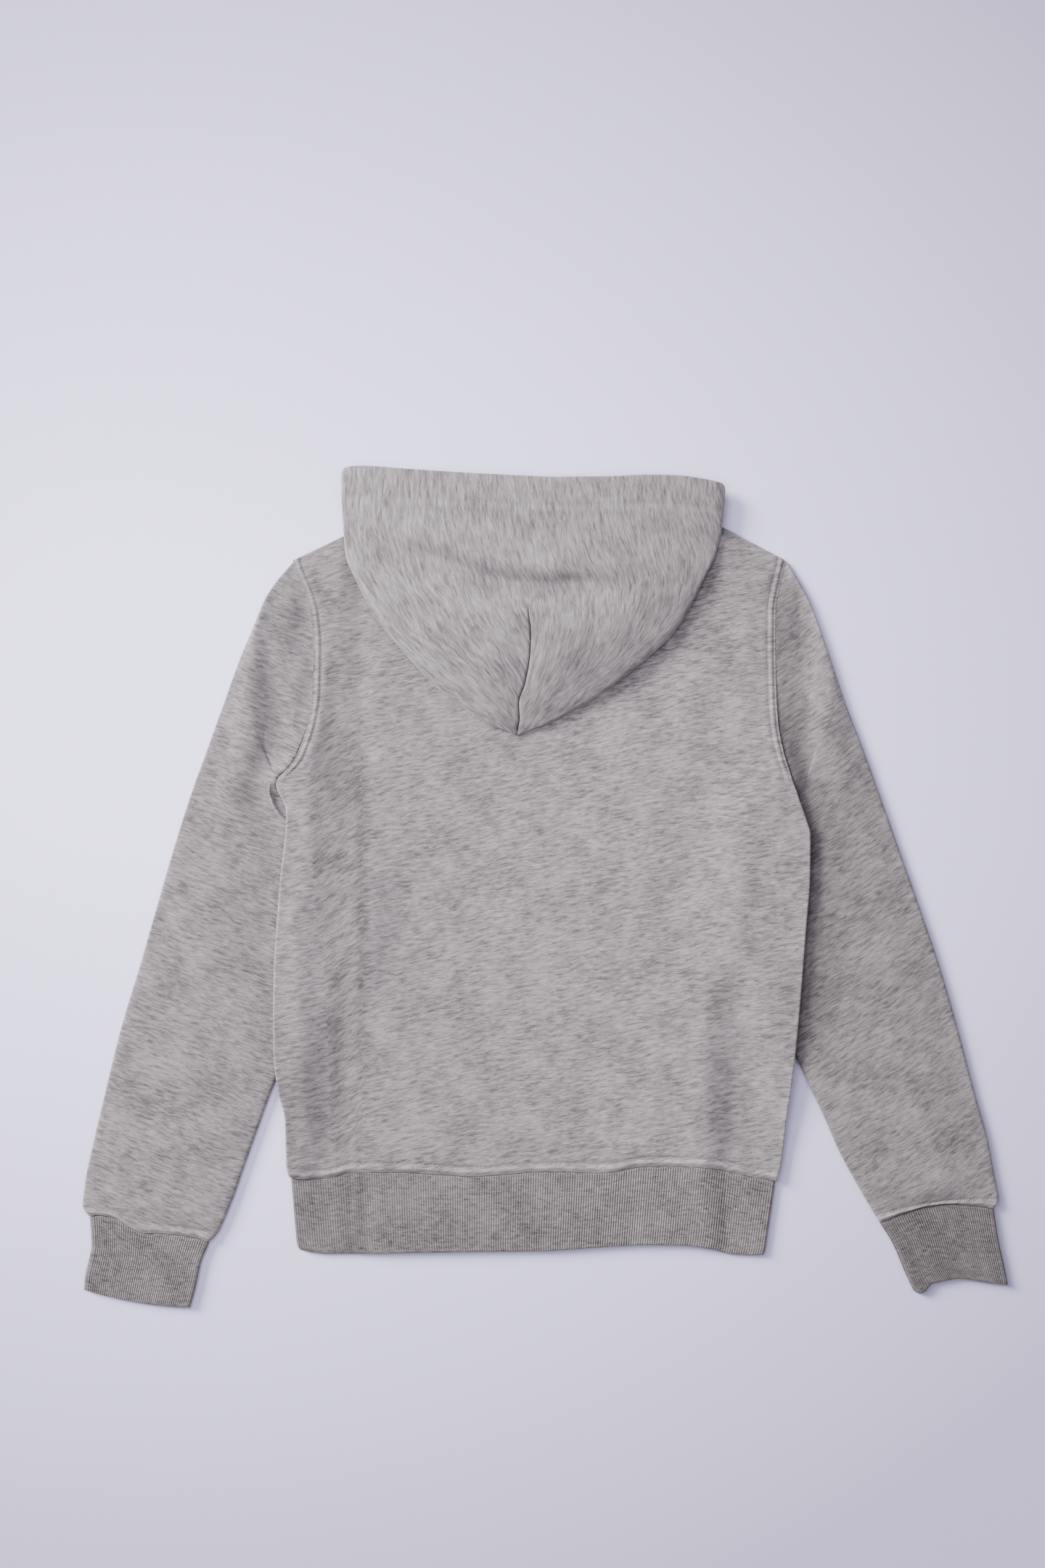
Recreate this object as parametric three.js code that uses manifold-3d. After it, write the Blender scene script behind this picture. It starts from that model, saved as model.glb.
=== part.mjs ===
// A zip-up hoodie in heather-grey brushed fleece, laid face down on a flat surface.
// The back is uppermost, the hood is spread over it with its rim towards +Y, the hem is towards -Y,
// and each sleeve runs down beside the body with its inner part tucked beneath the body's side.
// Millimetres. +Z is up from the surface, and the wearer's left is at -X. Every wall is cloth:
// an outer surface and an inner one that faces the wearer or the fold's inside.
import * as THREE from 'three';
import { mergeVertices } from 'three/addons/utils/BufferGeometryUtils.js';
import Module from 'manifold-3d';

const wasm = await Module();
wasm.setup();

// ---------------------------------------------------------------- driving dimensions
const CLOTH = 2.2; // fleece thickness
const RIB_CLOTH = 2.4; // doubled rib knit, below its ribs
const RIB_PITCH = 2.1;
const RIB_RISE = 0.45;
const SEAM_GAP = 0.3; // between two pieces sewn to each other
const PLAN_GAP = 0.6; // between a curved seam's two edges, seen from above
const ARMHOLE_GAP = 1; // the same at the armholes, which curve more
const ARMHOLE_TURN = 125; // below here the armhole runs outwards and the sleeve is tucked beneath it
const NECK_HALF = 100; // centre line to the neck point
const NECK_Y = 336; // height of the neck points up the layout
const BACK_NECK_DROP = 18;
const FRONT_NECK_DROP = 80;
const ZIP_EDGE = 5.4; // centre line to a front's zip edge
const SLEEVE_FLAT = 5.6; // height of a flattened sleeve where it lies under the body
const LIFT = 6.4; // how far the body is raised where it lies on a sleeve
const LIFT_MARGIN = 8; // the raised stretch runs this far past the sleeve's hidden edge
const LIFT_RAMP = 18; // and comes down over this length
const PLATEAU = 2.6; // air between the back and the fronts along the middle of the body
const EDGE_ROLL = 0.9; // how much a folded side edge is rounded off
const HOOD_BASE = 7.7; // underside of the hood's lower layer, just clear of the back
const HOOD_SIDE = 13; // top of the hood at its side folds
const HOOD_HEM = 24; // depth of the hood's folded rim hem
const HOOD_HEM_RISE = 0.5;
const TROUGH_DEPTH = 4.4; // the soft sag across the hood
const TROUGH_WIDTH = 13;
const CROWN_TOP = 243; // the crown seam runs from here down to the tip
const CROWN_DEPTH = 2.8;

// ---------------------------------------------------------------- tables of the layout
// Side edges of the body, from the shoulder tips down the armholes and the side seams to the hem.
const SIDES = [
  { y: 280, left: -216.5, right: 206 },
  { y: 270, left: -213, right: 203.6 },
  { y: 255, left: -206.4, right: 200 },
  { y: 235, left: -201, right: 197 },
  { y: 208, left: -198.7, right: 196.9 },
  { y: 170, left: -199.4, right: 197.5 },
  { y: 140, left: -203.7, right: 199 },
  { y: 113, left: -211.8, right: 204 },
  { y: 92, left: -223, right: 211 },
  { y: 72, left: -224.5, right: 218 },
  { y: 45, left: -222.5, right: 226.4 },
  { y: 10, left: -226.5, right: 226 },
  { y: -35, left: -230, right: 222.6 },
  { y: -70, left: -232.2, right: 219.9 },
  { y: -105, left: -232.9, right: 217 },
  { y: -137, left: -232.6, right: 214 },
  { y: -170, left: -229.5, right: 210.2 },
  { y: -200, left: -222.8, right: 206 },
  { y: -225, left: -222.3, right: 203.5 },
  { y: -241, left: -221.5, right: 200.8 },
  { y: -247, left: -219.5, right: 198.6 },
];

// The hem's seam line and foot, across the body.
const HEM_LINES = [
  { x: -220, seam: -247.4, foot: -308 },
  { x: -205, seam: -250, foot: -311.5 },
  { x: -187, seam: -249, foot: -313.6 },
  { x: -163, seam: -243.7, foot: -313.4 },
  { x: -124, seam: -243.7, foot: -312.7 },
  { x: -64, seam: -246.8, foot: -311.6 },
  { x: 4, seam: -243, foot: -310.6 },
  { x: 50, seam: -244, foot: -307.4 },
  { x: 85, seam: -238.7, foot: -305.7 },
  { x: 118, seam: -238.5, foot: -306 },
  { x: 140, seam: -240, foot: -308.8 },
  { x: 160, seam: -244, foot: -314 },
  { x: 180, seam: -248.6, foot: -314.8 },
  { x: 199, seam: -251.3, foot: -313 },
];

// Side edges of the hem rib, from its seam to its foot, and how far its top is rounded down.
const HEM_SIDES = [
  { down: 0, left: -218, right: 197, roll: 0.4 },
  { down: 0.95, left: -213.2, right: 188.6, roll: 0 },
  { down: 1, left: -210.5, right: 187, roll: 1.3 },
];

// Hidden inner edge of each sleeve, beneath the body.
const TUCK = [
  { y: 130, left: -216, right: 211 },
  { y: 100, left: -209, right: 206 },
  { y: 84, left: -203, right: 201 },
  { y: 66, left: -197, right: 196 },
  { y: 48, left: -190, right: 189 },
  { y: 24, left: -180, right: 181 },
  { y: 0, left: -176, right: 178.5 },
  { y: -25, left: -177.5, right: 179.5 },
  { y: -49, left: -183.5, right: 183.5 },
  { y: -76, left: -192, right: 189.5 },
  { y: -105, left: -203, right: 199 },
  { y: -135, left: -216, right: 210 },
  { y: -163, left: -229, right: 222.5 },
  { y: -192, left: -240.5, right: 236.5 },
  { y: -225, left: -253, right: 251 },
];

// Sections across each sleeve from its outer edge to its inner edge, down to the cuff seam. The
// first one lies along the armhole and then straight on beneath the body. bow shifts a section's middle along X, rise is how far the
// cloth stands over the flat height, and reach is the share of the section that stands so.
const SLEEVE_LEFT = [
  { outX: -217.1, outY: 279, inX: -209, inY: 84, bow: 0, rise: 0, reach: 1 },
  { outX: -227, outY: 267, inX: -209.6, inY: 77, bow: -6, rise: 1.1, reach: 0.7 },
  { outX: -239.5, outY: 249, inX: -207.7, inY: 67, bow: -9, rise: 0.2, reach: 0.6 },
  { outX: -251, outY: 222, inX: -202.8, inY: 53, bow: -12, rise: 1.5, reach: 0.5 },
  { outX: -262.6, outY: 194, inX: -193, inY: 34, bow: -10, rise: 2.1, reach: 0.46 },
  { outX: -276, outY: 157, inX: -177.5, inY: 0, bow: 0, rise: 2.3, reach: 0.46 },
  { outX: -289.5, outY: 119.7, inX: -179, inY: -25, bow: 0, rise: 2.2, reach: 0.52 },
  { outX: -303, outY: 82.5, inX: -185, inY: -49, bow: 0, rise: 2, reach: 0.56 },
  { outX: -317, outY: 39, inX: -193.5, inY: -76, bow: 0, rise: 1.8, reach: 0.62 },
  { outX: -331.5, outY: -10.5, inX: -204.5, inY: -105, bow: 0, rise: 1.9, reach: 0.72 },
  { outX: -347.5, outY: -66.3, inX: -217.5, inY: -135, bow: 0, rise: 2.1, reach: 0.86 },
  { outX: -364.3, outY: -122, inX: -230.5, inY: -163, bow: 0, rise: 2.2, reach: 1 },
  { outX: -378, outY: -178, inX: -246, inY: -205, bow: 0, rise: 2, reach: 1 },
  { outX: -387, outY: -216, inX: -257.5, inY: -237, bow: 0, rise: 1.9, reach: 1 },
  { outX: -394.6, outY: -252, inX: -268.5, inY: -268, bow: 0, rise: 2.2, reach: 1 },
  { outX: -396.8, outY: -272, inX: -281, inY: -296, bow: 0, rise: 1.9, reach: 1 },
  { outX: -391.5, outY: -281.6, inX: -288.4, inY: -303.9, bow: 0, rise: 0, reach: 1 },
];
const SLEEVE_RIGHT = [
  { outX: 206.8, outY: 280, inX: 203, inY: 83, bow: 0, rise: 0, reach: 1 },
  { outX: 215, outY: 270, inX: 203.6, inY: 76, bow: 6, rise: -0.7, reach: 0.7 },
  { outX: 226, outY: 252, inX: 202, inY: 66, bow: 9, rise: -0.4, reach: 0.6 },
  { outX: 236.5, outY: 225, inX: 197.7, inY: 52, bow: 11, rise: 0.8, reach: 0.5 },
  { outX: 245.2, outY: 194, inX: 189.5, inY: 33, bow: 11, rise: 1.7, reach: 0.46 },
  { outX: 257.6, outY: 157, inX: 179, inY: 0, bow: 2, rise: 2.2, reach: 0.46 },
  { outX: 272, outY: 119.7, inX: 180, inY: -25, bow: 0, rise: 2.3, reach: 0.48 },
  { outX: 285.5, outY: 82.5, inX: 184, inY: -49, bow: 0, rise: 2.3, reach: 0.5 },
  { outX: 302, outY: 36, inX: 190, inY: -76, bow: 0, rise: 2.2, reach: 0.58 },
  { outX: 319, outY: -12, inX: 199, inY: -104, bow: 0, rise: 2.1, reach: 0.68 },
  { outX: 337.6, outY: -66.3, inX: 210, inY: -134, bow: 0, rise: 2.1, reach: 0.82 },
  { outX: 355.2, outY: -127, inX: 222.5, inY: -162, bow: 0, rise: 2.2, reach: 1 },
  { outX: 368.6, outY: -178, inX: 238.5, inY: -196, bow: 0, rise: 2, reach: 1 },
  { outX: 379, outY: -215, inX: 252.5, inY: -227.5, bow: 0, rise: 1.9, reach: 1 },
  { outX: 385.3, outY: -248, inX: 268, inY: -256, bow: 0, rise: 2.2, reach: 1 },
  { outX: 388.7, outY: -266, inX: 282, inY: -280, bow: 0, rise: 1.9, reach: 1 },
  { outX: 384.5, outY: -275.2, inX: 286.4, inY: -287, bow: 0, rise: 0, reach: 1 },
];

// How each cuff seam waves along Y, from the sleeve's outer edge (0) to its inner edge (1).
const CUFF_WAVE = [
  { across: 0, left: 0, right: 0 },
  { across: 0.17, left: 4.2, right: 4.6 },
  { across: 0.3, left: 0.9, right: 7.4 },
  { across: 0.45, left: -2.8, right: 9.3 },
  { across: 0.62, left: 0.3, right: 9.1 },
  { across: 0.8, left: 0.9, right: 5.4 },
  { across: 1, left: 0, right: 0 },
];

// Sections across each cuff, from its seam to its foot.
const CUFF_LEFT = [
  { outX: -390, outY: -283, inX: -288.6, inY: -305.2, sag: 0, wave: 1 },
  { outX: -389.2, outY: -306, inX: -295.4, inY: -322, sag: -1, wave: 0.3 },
  { outX: -394.4, outY: -331, inX: -299.5, inY: -341, sag: -3, wave: 0 },
  { outX: -395.7, outY: -344.5, inX: -304.5, inY: -359.4, sag: -3, wave: 0 },
];
const CUFF_RIGHT = [
  { outX: 384.2, outY: -276.4, inX: 287, inY: -288, sag: 0, wave: 1 },
  { outX: 387.6, outY: -297.5, inX: 297.5, inY: -305, sag: 2, wave: 0.4 },
  { outX: 393.4, outY: -325, inX: 307.5, inY: -328.5, sag: 1, wave: 0 },
  { outX: 396.5, outY: -340.5, inX: 315.5, inY: -345.5, sag: 3, wave: 0 },
];

// The hood's side folds and crown seam, from the rim down to the tip, and the height of its dome.
const HOOD = [
  { y: 351.3, left: -174.5, right: 154, seam: -14, crest: 17.8 },
  { y: 327, left: -174.3, right: 152.5, seam: -14, crest: 19.4 },
  { y: 306, left: -173, right: 149.7, seam: -15, crest: 20.6 },
  { y: 284, left: -170.8, right: 144.5, seam: -15, crest: 21.6 },
  { y: 262, left: -161.5, right: 134.2, seam: -15, crest: 22.4 },
  { y: 237, left: -149, right: 121.8, seam: -14.6, crest: 23.2 },
  { y: 216, left: -133.6, right: 108, seam: -12.6, crest: 23.4 },
  { y: 197, left: -117.5, right: 88, seam: -13.6, crest: 22.6 },
  { y: 175, left: -97, right: 60.5, seam: -17.5, crest: 20.4 },
  { y: 157, left: -74.7, right: 33.8, seam: -23, crest: 18 },
  { y: 145, left: -58, right: 11.5, seam: -22.4, crest: 16 },
  { y: 137, left: -44, right: -5, seam: -23.6, crest: 14.4 },
  { y: 131.8, left: -32, right: -17, seam: -24.4, crest: 13.2 },
];
const HOOD_TIP_Y = 130.2;
const HOOD_STATIONS = [
  351.3, 349.3, 328, 326, 308, 296, 286, 277, 269, 260, 250, 240, 229, 214, 197, 180, 165, 153, 144,
  137, 131.8,
];
// The middle line of the sag across the hood.
const HOOD_TROUGH = [
  { x: -175, y: 312 },
  { x: -122, y: 293 },
  { x: -86, y: 280 },
  { x: -50, y: 271 },
  { x: -20, y: 264 },
  { x: 20, y: 264 },
  { x: 58, y: 268 },
  { x: 100, y: 277 },
  { x: 154, y: 296 },
];

// ---------------------------------------------------------------- small maths
const lerp = (a, b, t) => a + (b - a) * t;
const clamp01 = (t) => Math.min(1, Math.max(0, t));
// 0 at a, 1 at b, and smooth between them.
const smooth = (a, b, x) => {
  const t = clamp01((x - a) / (b - a));
  return t * t * (3 - 2 * t);
};
const bell = (offset, width) => Math.exp(-((offset / width) ** 2));

// The value of one column of a table at a place along another, on a curve that never overshoots.
function along(rows, key, column, at) {
  const up = rows[0][key] < rows[rows.length - 1][key] ? rows : [...rows].reverse();
  const last = up.length - 1;
  if (at <= up[0][key]) return up[0][column];
  if (at >= up[last][key]) return up[last][column];
  let i = 0;
  while (up[i + 1][key] < at) i += 1;
  const slope = (k) => (up[k + 1][column] - up[k][column]) / (up[k + 1][key] - up[k][key]);
  const tangent = (k) => {
    if (k === 0) return slope(0);
    if (k === last) return slope(last - 1);
    const before = slope(k - 1);
    const after = slope(k);
    return before * after <= 0 ? 0 : (2 * before * after) / (before + after);
  };
  const span = up[i + 1][key] - up[i][key];
  const t = (at - up[i][key]) / span;
  const t2 = t * t;
  const t3 = t2 * t;
  return (
    (2 * t3 - 3 * t2 + 1) * up[i][column] +
    (t3 - 2 * t2 + t) * span * tangent(i) +
    (3 * t2 - 2 * t3) * up[i + 1][column] +
    (t3 - t2) * span * tangent(i + 1)
  );
}

// The same on straight lines from row to row, for edges that two pieces must share exactly.
function straight(rows, key, column, at) {
  const up = rows[0][key] < rows[rows.length - 1][key] ? rows : [...rows].reverse();
  const last = up.length - 1;
  if (at <= up[0][key]) return up[0][column];
  if (at >= up[last][key]) return up[last][column];
  let i = 0;
  while (up[i + 1][key] < at) i += 1;
  return lerp(up[i][column], up[i + 1][column], (at - up[i][key]) / (up[i + 1][key] - up[i][key]));
}

// ---------------------------------------------------------------- closed walls
function geometryOf(points, triangles) {
  const g = new THREE.BufferGeometry();
  g.setAttribute('position', new THREE.Float32BufferAttribute(points.flat(), 3));
  g.setIndex(triangles.flat());
  let volume = 0;
  for (const [a, b, c] of triangles) {
    const [p, q, r] = [points[a], points[b], points[c]];
    volume += p[0] * (q[1] * r[2] - q[2] * r[1]);
    volume -= p[1] * (q[0] * r[2] - q[2] * r[0]);
    volume += p[2] * (q[0] * r[1] - q[1] * r[0]);
  }
  if (volume < 0) g.setIndex(triangles.map(([a, b, c]) => [a, c, b]).flat());
  g.computeVertexNormals();
  return g;
}

// A flat-lying wall: a grid of places, each with the heights of its lower and upper surface.
function panelWall(grid) {
  const rows = grid.length;
  const columns = grid[0].length;
  const points = [];
  for (const row of grid) for (const p of row) points.push([p.x, p.y, p.high]);
  for (const row of grid) for (const p of row) points.push([p.x, p.y, p.low]);
  const top = (r, c) => r * columns + c;
  const under = (r, c) => rows * columns + r * columns + c;
  const triangles = [];
  const quad = (a, b, c, d) => triangles.push([a, b, c], [a, c, d]);
  for (let r = 0; r < rows - 1; r += 1) {
    for (let c = 0; c < columns - 1; c += 1) {
      quad(top(r, c), top(r, c + 1), top(r + 1, c + 1), top(r + 1, c));
      quad(under(r, c), under(r + 1, c), under(r + 1, c + 1), under(r, c + 1));
    }
    quad(top(r, 0), top(r + 1, 0), under(r + 1, 0), under(r, 0));
    const e = columns - 1;
    quad(top(r, e), under(r, e), under(r + 1, e), top(r + 1, e));
  }
  for (let c = 0; c < columns - 1; c += 1) {
    quad(top(0, c), under(0, c), under(0, c + 1), top(0, c + 1));
    const e = rows - 1;
    quad(top(e, c), top(e, c + 1), under(e, c + 1), under(e, c));
  }
  return geometryOf(points, triangles);
}

// A tube wall through matching outer and inner rings. Its first end is open; with tips, an outer
// and an inner point, its last end is closed, and without them it is open too.
function tubeWall(outer, inner, tips) {
  const count = outer[0].length;
  const points = [...outer.flat(), ...inner.flat()];
  const out = (s, i) => s * count + (i % count);
  const inn = (s, i) => (outer.length + s) * count + (i % count);
  const triangles = [];
  const quad = (a, b, c, d) => triangles.push([a, b, c], [a, c, d]);
  for (let i = 0; i < count; i += 1) {
    for (let s = 0; s < outer.length - 1; s += 1) {
      quad(out(s, i), out(s, i + 1), out(s + 1, i + 1), out(s + 1, i));
    }
    for (let s = 0; s < inner.length - 1; s += 1) {
      quad(inn(s, i), inn(s + 1, i), inn(s + 1, i + 1), inn(s, i + 1));
    }
    quad(out(0, i), inn(0, i), inn(0, i + 1), out(0, i + 1));
    const [e, f] = [outer.length - 1, inner.length - 1];
    if (tips) {
      triangles.push([out(e, i), out(e, i + 1), points.length]);
      triangles.push([inn(f, i + 1), inn(f, i), points.length + 1]);
    } else {
      quad(out(e, i), out(e, i + 1), inn(f, i + 1), inn(f, i));
    }
  }
  return geometryOf(tips ? [...points, ...tips] : points, triangles);
}

// Triangles across the strip between two lines of points, always along the shorter diagonal.
function strip(points, near, far) {
  const gap = (p, q) => Math.hypot(...points[p].map((v, k) => v - points[q][k]));
  const triangles = [];
  let i = 0;
  let j = 0;
  while (i < near.length - 1 || j < far.length - 1) {
    const alongNear = i < near.length - 1 ? gap(near[i + 1], far[j]) : Infinity;
    const alongFar = j < far.length - 1 ? gap(near[i], far[j + 1]) : Infinity;
    if (alongNear <= alongFar) {
      triangles.push([near[i], near[i + 1], far[j]]);
      i += 1;
    } else {
      triangles.push([near[i], far[j + 1], far[j]]);
      j += 1;
    }
  }
  return triangles;
}

// A cloth wall lofted through sections. Each section is { outer, inner } as lists of [x, y, z]:
// the wall's outer and inner surface, which close on themselves or end at two cut edges.
function loftWall(sections, closed) {
  const [outerCount, innerCount] = [sections[0].outer.length, sections[0].inner.length];
  const size = outerCount + innerCount;
  const points = sections.flatMap((s) => [...s.outer, ...s.inner]);
  const line = (s, start, count) => {
    const list = Array.from({ length: count }, (_, i) => s * size + start + i);
    return closed ? [...list, list[0]] : list;
  };
  const outerLine = (s) => line(s, 0, outerCount);
  const innerLine = (s) => line(s, outerCount, innerCount);
  const triangles = [];
  const band = (from, to) => {
    for (let i = 0; i < from.length - 1; i += 1) {
      triangles.push([from[i], from[i + 1], to[i + 1]], [from[i], to[i + 1], to[i]]);
    }
  };
  const last = sections.length - 1;
  for (let s = 0; s < last; s += 1) {
    band(outerLine(s), outerLine(s + 1));
    band(innerLine(s + 1), innerLine(s));
    if (closed) continue;
    const [a, b] = [outerLine(s), outerLine(s + 1)];
    const [c, d] = [innerLine(s), innerLine(s + 1)];
    band([c[0], a[0]], [d[0], b[0]]);
    band([a[a.length - 1], c[c.length - 1]], [b[b.length - 1], d[d.length - 1]]);
  }
  for (const [p, q, r] of strip(points, outerLine(0), innerLine(0))) triangles.push([p, r, q]);
  triangles.push(...strip(points, outerLine(last), innerLine(last)));
  return geometryOf(points, triangles);
}

// ---------------------------------------------------------------- manifold helpers
function solidOf(geometry) {
  const bare = geometry.clone();
  bare.deleteAttribute('normal');
  if (bare.getAttribute('uv')) bare.deleteAttribute('uv');
  const merged = mergeVertices(bare, 1e-4);
  return new wasm.Manifold(
    new wasm.Mesh({
      numProp: 3,
      vertProperties: new Float32Array(merged.attributes.position.array),
      triVerts: new Uint32Array(merged.index.array),
    }),
  );
}

function fromSolid(solid) {
  const m = solid.getMesh();
  const g = new THREE.BufferGeometry();
  g.setAttribute('position', new THREE.Float32BufferAttribute(Array.from(m.vertProperties), 3));
  g.setIndex(Array.from(m.triVerts));
  g.computeVertexNormals();
  return g;
}

// ---------------------------------------------------------------- the body's form
const hemSeam = (x) => along(HEM_LINES, 'x', 'seam', x);
const hemFoot = (x) => along(HEM_LINES, 'x', 'foot', x);

// Height of the body's lowest surface: 0 on the surface, raised where it lies over a sleeve. The
// right armhole also stands up a little as a fold all the way to the shoulder.
function lift(x, y) {
  const leftEdge = along(TUCK, 'y', 'left', y) + LIFT_MARGIN;
  const rightEdge = along(TUCK, 'y', 'right', y) - LIFT_MARGIN;
  const left = (1 - smooth(leftEdge, leftEdge + LIFT_RAMP, x)) * (1 - smooth(118, 190, y));
  const fold = lerp(1, 0.32, smooth(118, 190, y)) * (1 - smooth(235, 280, y));
  const right = smooth(rightEdge - LIFT_RAMP, rightEdge, x) * fold;
  return LIFT * Math.max(left, right);
}

// Air between the fronts and the back: a raised middle with a soft retail fold down each side.
function air(x, y) {
  const leftSide = smooth(-158, -132, x);
  const rightFold = smooth(134, 162, x) * (1 - smooth(-90, -30, y));
  const rightSide = 1 - smooth(150, 196, x);
  const middle = leftSide * (1 - rightFold) * rightSide;
  return PLATEAU * middle;
}

// Shoulder seams and necklines, as the top edge of the back and of a front.
function shoulderY(x) {
  const tip = x < 0 ? SIDES[0].left : SIDES[0].right;
  return lerp(NECK_Y, SIDES[0].y, (Math.abs(x) - NECK_HALF) / (Math.abs(tip) - NECK_HALF));
}
function backTopY(x) {
  if (Math.abs(x) >= NECK_HALF) return shoulderY(x);
  return NECK_Y - BACK_NECK_DROP * Math.sqrt(1 - (x / NECK_HALF) ** 2);
}
function frontTopY(x) {
  if (Math.abs(x) >= NECK_HALF) return shoulderY(x);
  const in01 = (Math.abs(x) - ZIP_EDGE) / (NECK_HALF - ZIP_EDGE);
  return NECK_Y - FRONT_NECK_DROP * Math.sqrt(1 - in01 ** 2);
}

// Columns of a panel: shares of the side zone from the side edge inwards, then fixed lines.
const SIDE_SHARES = [0, 0.025, 0.09, 0.25, 0.45, 0.6, 0.7, 0.8, 0.9];
const LEFT_ZONE = -150;
const RIGHT_ZONE = 148;
const BACK_LINES = [-150, -140, -128, -100, -68, -34, 0, 34, 68, 100, 120, 136, 148];
const FRONT_LINES = [130, 100, 97.5, 88, 70, 42, ZIP_EDGE];

// One row of column places across the body, from the left edge to the right edge.
function bodyPlaces(row) {
  const left = SIDE_SHARES.map((s) => lerp(row.left, LEFT_ZONE, s));
  const right = SIDE_SHARES.map((s) => lerp(row.right, RIGHT_ZONE, s)).reverse();
  return [...left, ...BACK_LINES, ...right];
}

// Y of a row at a place across: rows fan out between the hem seam and the panel's top edge.
function rowY(row, x, topY) {
  const [top, foot] = [SIDES[0].y, SIDES[SIDES.length - 1].y];
  const low = hemSeam(x) + PLAN_GAP / 2;
  return lerp(low, topY(x), (row.y - foot) / (top - foot));
}

function backPanel() {
  const grid = SIDES.map((row, r) => {
    const places = bodyPlaces(row);
    return places.map((x, c) => {
      const y = rowY(row, x, backTopY);
      const atEdge = c === 0 || c === places.length - 1;
      const atSeam = r === SIDES.length - 1;
      const closing = 1 - 0.999 * smooth(-14, 0, y - shoulderY(x)) * (Math.abs(x) > 99 ? 1 : 0);
      const low = lift(x, y) + CLOTH + SEAM_GAP + air(x, y) * closing;
      const roll = atEdge || atSeam ? EDGE_ROLL : 0;
      return { x, y, low, high: low + CLOTH - roll };
    });
  });
  return panelWall(grid);
}

function frontPlaces(row, side) {
  const edge = side < 0 ? row.left : row.right;
  const zone = side < 0 ? LEFT_ZONE : RIGHT_ZONE;
  return [...SIDE_SHARES.map((s) => lerp(edge, zone, s)), zone, ...FRONT_LINES.map((x) => side * x)];
}

function frontPanel(side) {
  const grid = SIDES.map((row) => {
    const cells = frontPlaces(row, side).map((x, c) => {
      const y = rowY(row, x, frontTopY);
      const low = lift(x, y);
      return { x, y, low: low + (c === 0 ? EDGE_ROLL : 0), high: low + CLOTH };
    });
    return side < 0 ? cells : cells.reverse(); // so that its faces match the back's above it
  });
  return panelWall(grid);
}

// ---------------------------------------------------------------- flattened tubes
// Places round a flattened tube. Each is a share of the way across, a distance in from an edge
// fold given as multiples of the fold's radius, and the height: 1 on top, 0 beneath.
const TUBE_TOP = [0.09, 0.17, 0.3, 0.45, 0.62, 0.8, 0.91];
const TUBE_UNDER = [0.8, 0.62, 0.45, 0.3, 0.17];
const CORNER = 1 - Math.SQRT1_2;

// One ring of a flattened tube: curve(t) is the place in plan, top(t) the height of its top.
function flatRing(curve, length, top, inset) {
  const endHeight = (t) => top(t) - 2 * inset;
  const ring = [];
  const add = (t, z) => {
    const [x, y] = curve(t);
    ring.push([x, y, z]);
  };
  const radius = (t) => endHeight(t) / 2;
  const foldPoint = (t, share, z01) => {
    const from = t === 0 ? 1 : -1;
    const d = inset + radius(t) * share;
    add(t + (from * d) / length, inset + endHeight(t) * z01);
  };
  foldPoint(0, 0, 0.5);
  foldPoint(0, CORNER, 1 - CORNER / 2);
  foldPoint(0, 1, 1);
  for (const t of TUBE_TOP) add(t, top(t) - inset);
  foldPoint(1, 1, 1);
  foldPoint(1, CORNER, 1 - CORNER / 2);
  foldPoint(1, 0, 0.5);
  foldPoint(1, CORNER, CORNER / 2);
  foldPoint(1, 1, 0);
  for (const t of TUBE_UNDER) add(t, inset);
  foldPoint(0, 1, 0);
  foldPoint(0, CORNER, CORNER / 2);
  return ring;
}

function sleeve(rows, side) {
  const column = side < 0 ? 'left' : 'right';
  const rings = (inset) =>
    rows.map((row, k) => {
      const last = k === rows.length - 1;
      const wave = [0.5, 1][k - rows.length + 2] ?? 0; // only the last two sections follow the seam
      const curve = (t) => {
        const y = lerp(row.outY, row.inY, t);
        const armhole = straight(SIDES, 'y', column, Math.max(y, ARMHOLE_TURN));
        if (k === 0) return [armhole + side * ARMHOLE_GAP, y];
        const x = lerp(row.outX, row.inX, t) + row.bow * 4 * t * (1 - t);
        return [x, y + wave * straight(CUFF_WAVE, 'across', column, t)];
      };
      const top = (t) => {
        const stand = t < row.reach ? Math.sin((Math.PI * t) / row.reach) ** 0.75 : 0;
        return SLEEVE_FLAT + (last ? -0.6 : row.rise * stand);
      };
      const length = Math.hypot(row.outX - row.inX, row.outY - row.inY);
      return flatRing(curve, length, top, inset);
    });
  return tubeWall(rings(0), rings(CLOTH));
}

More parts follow.
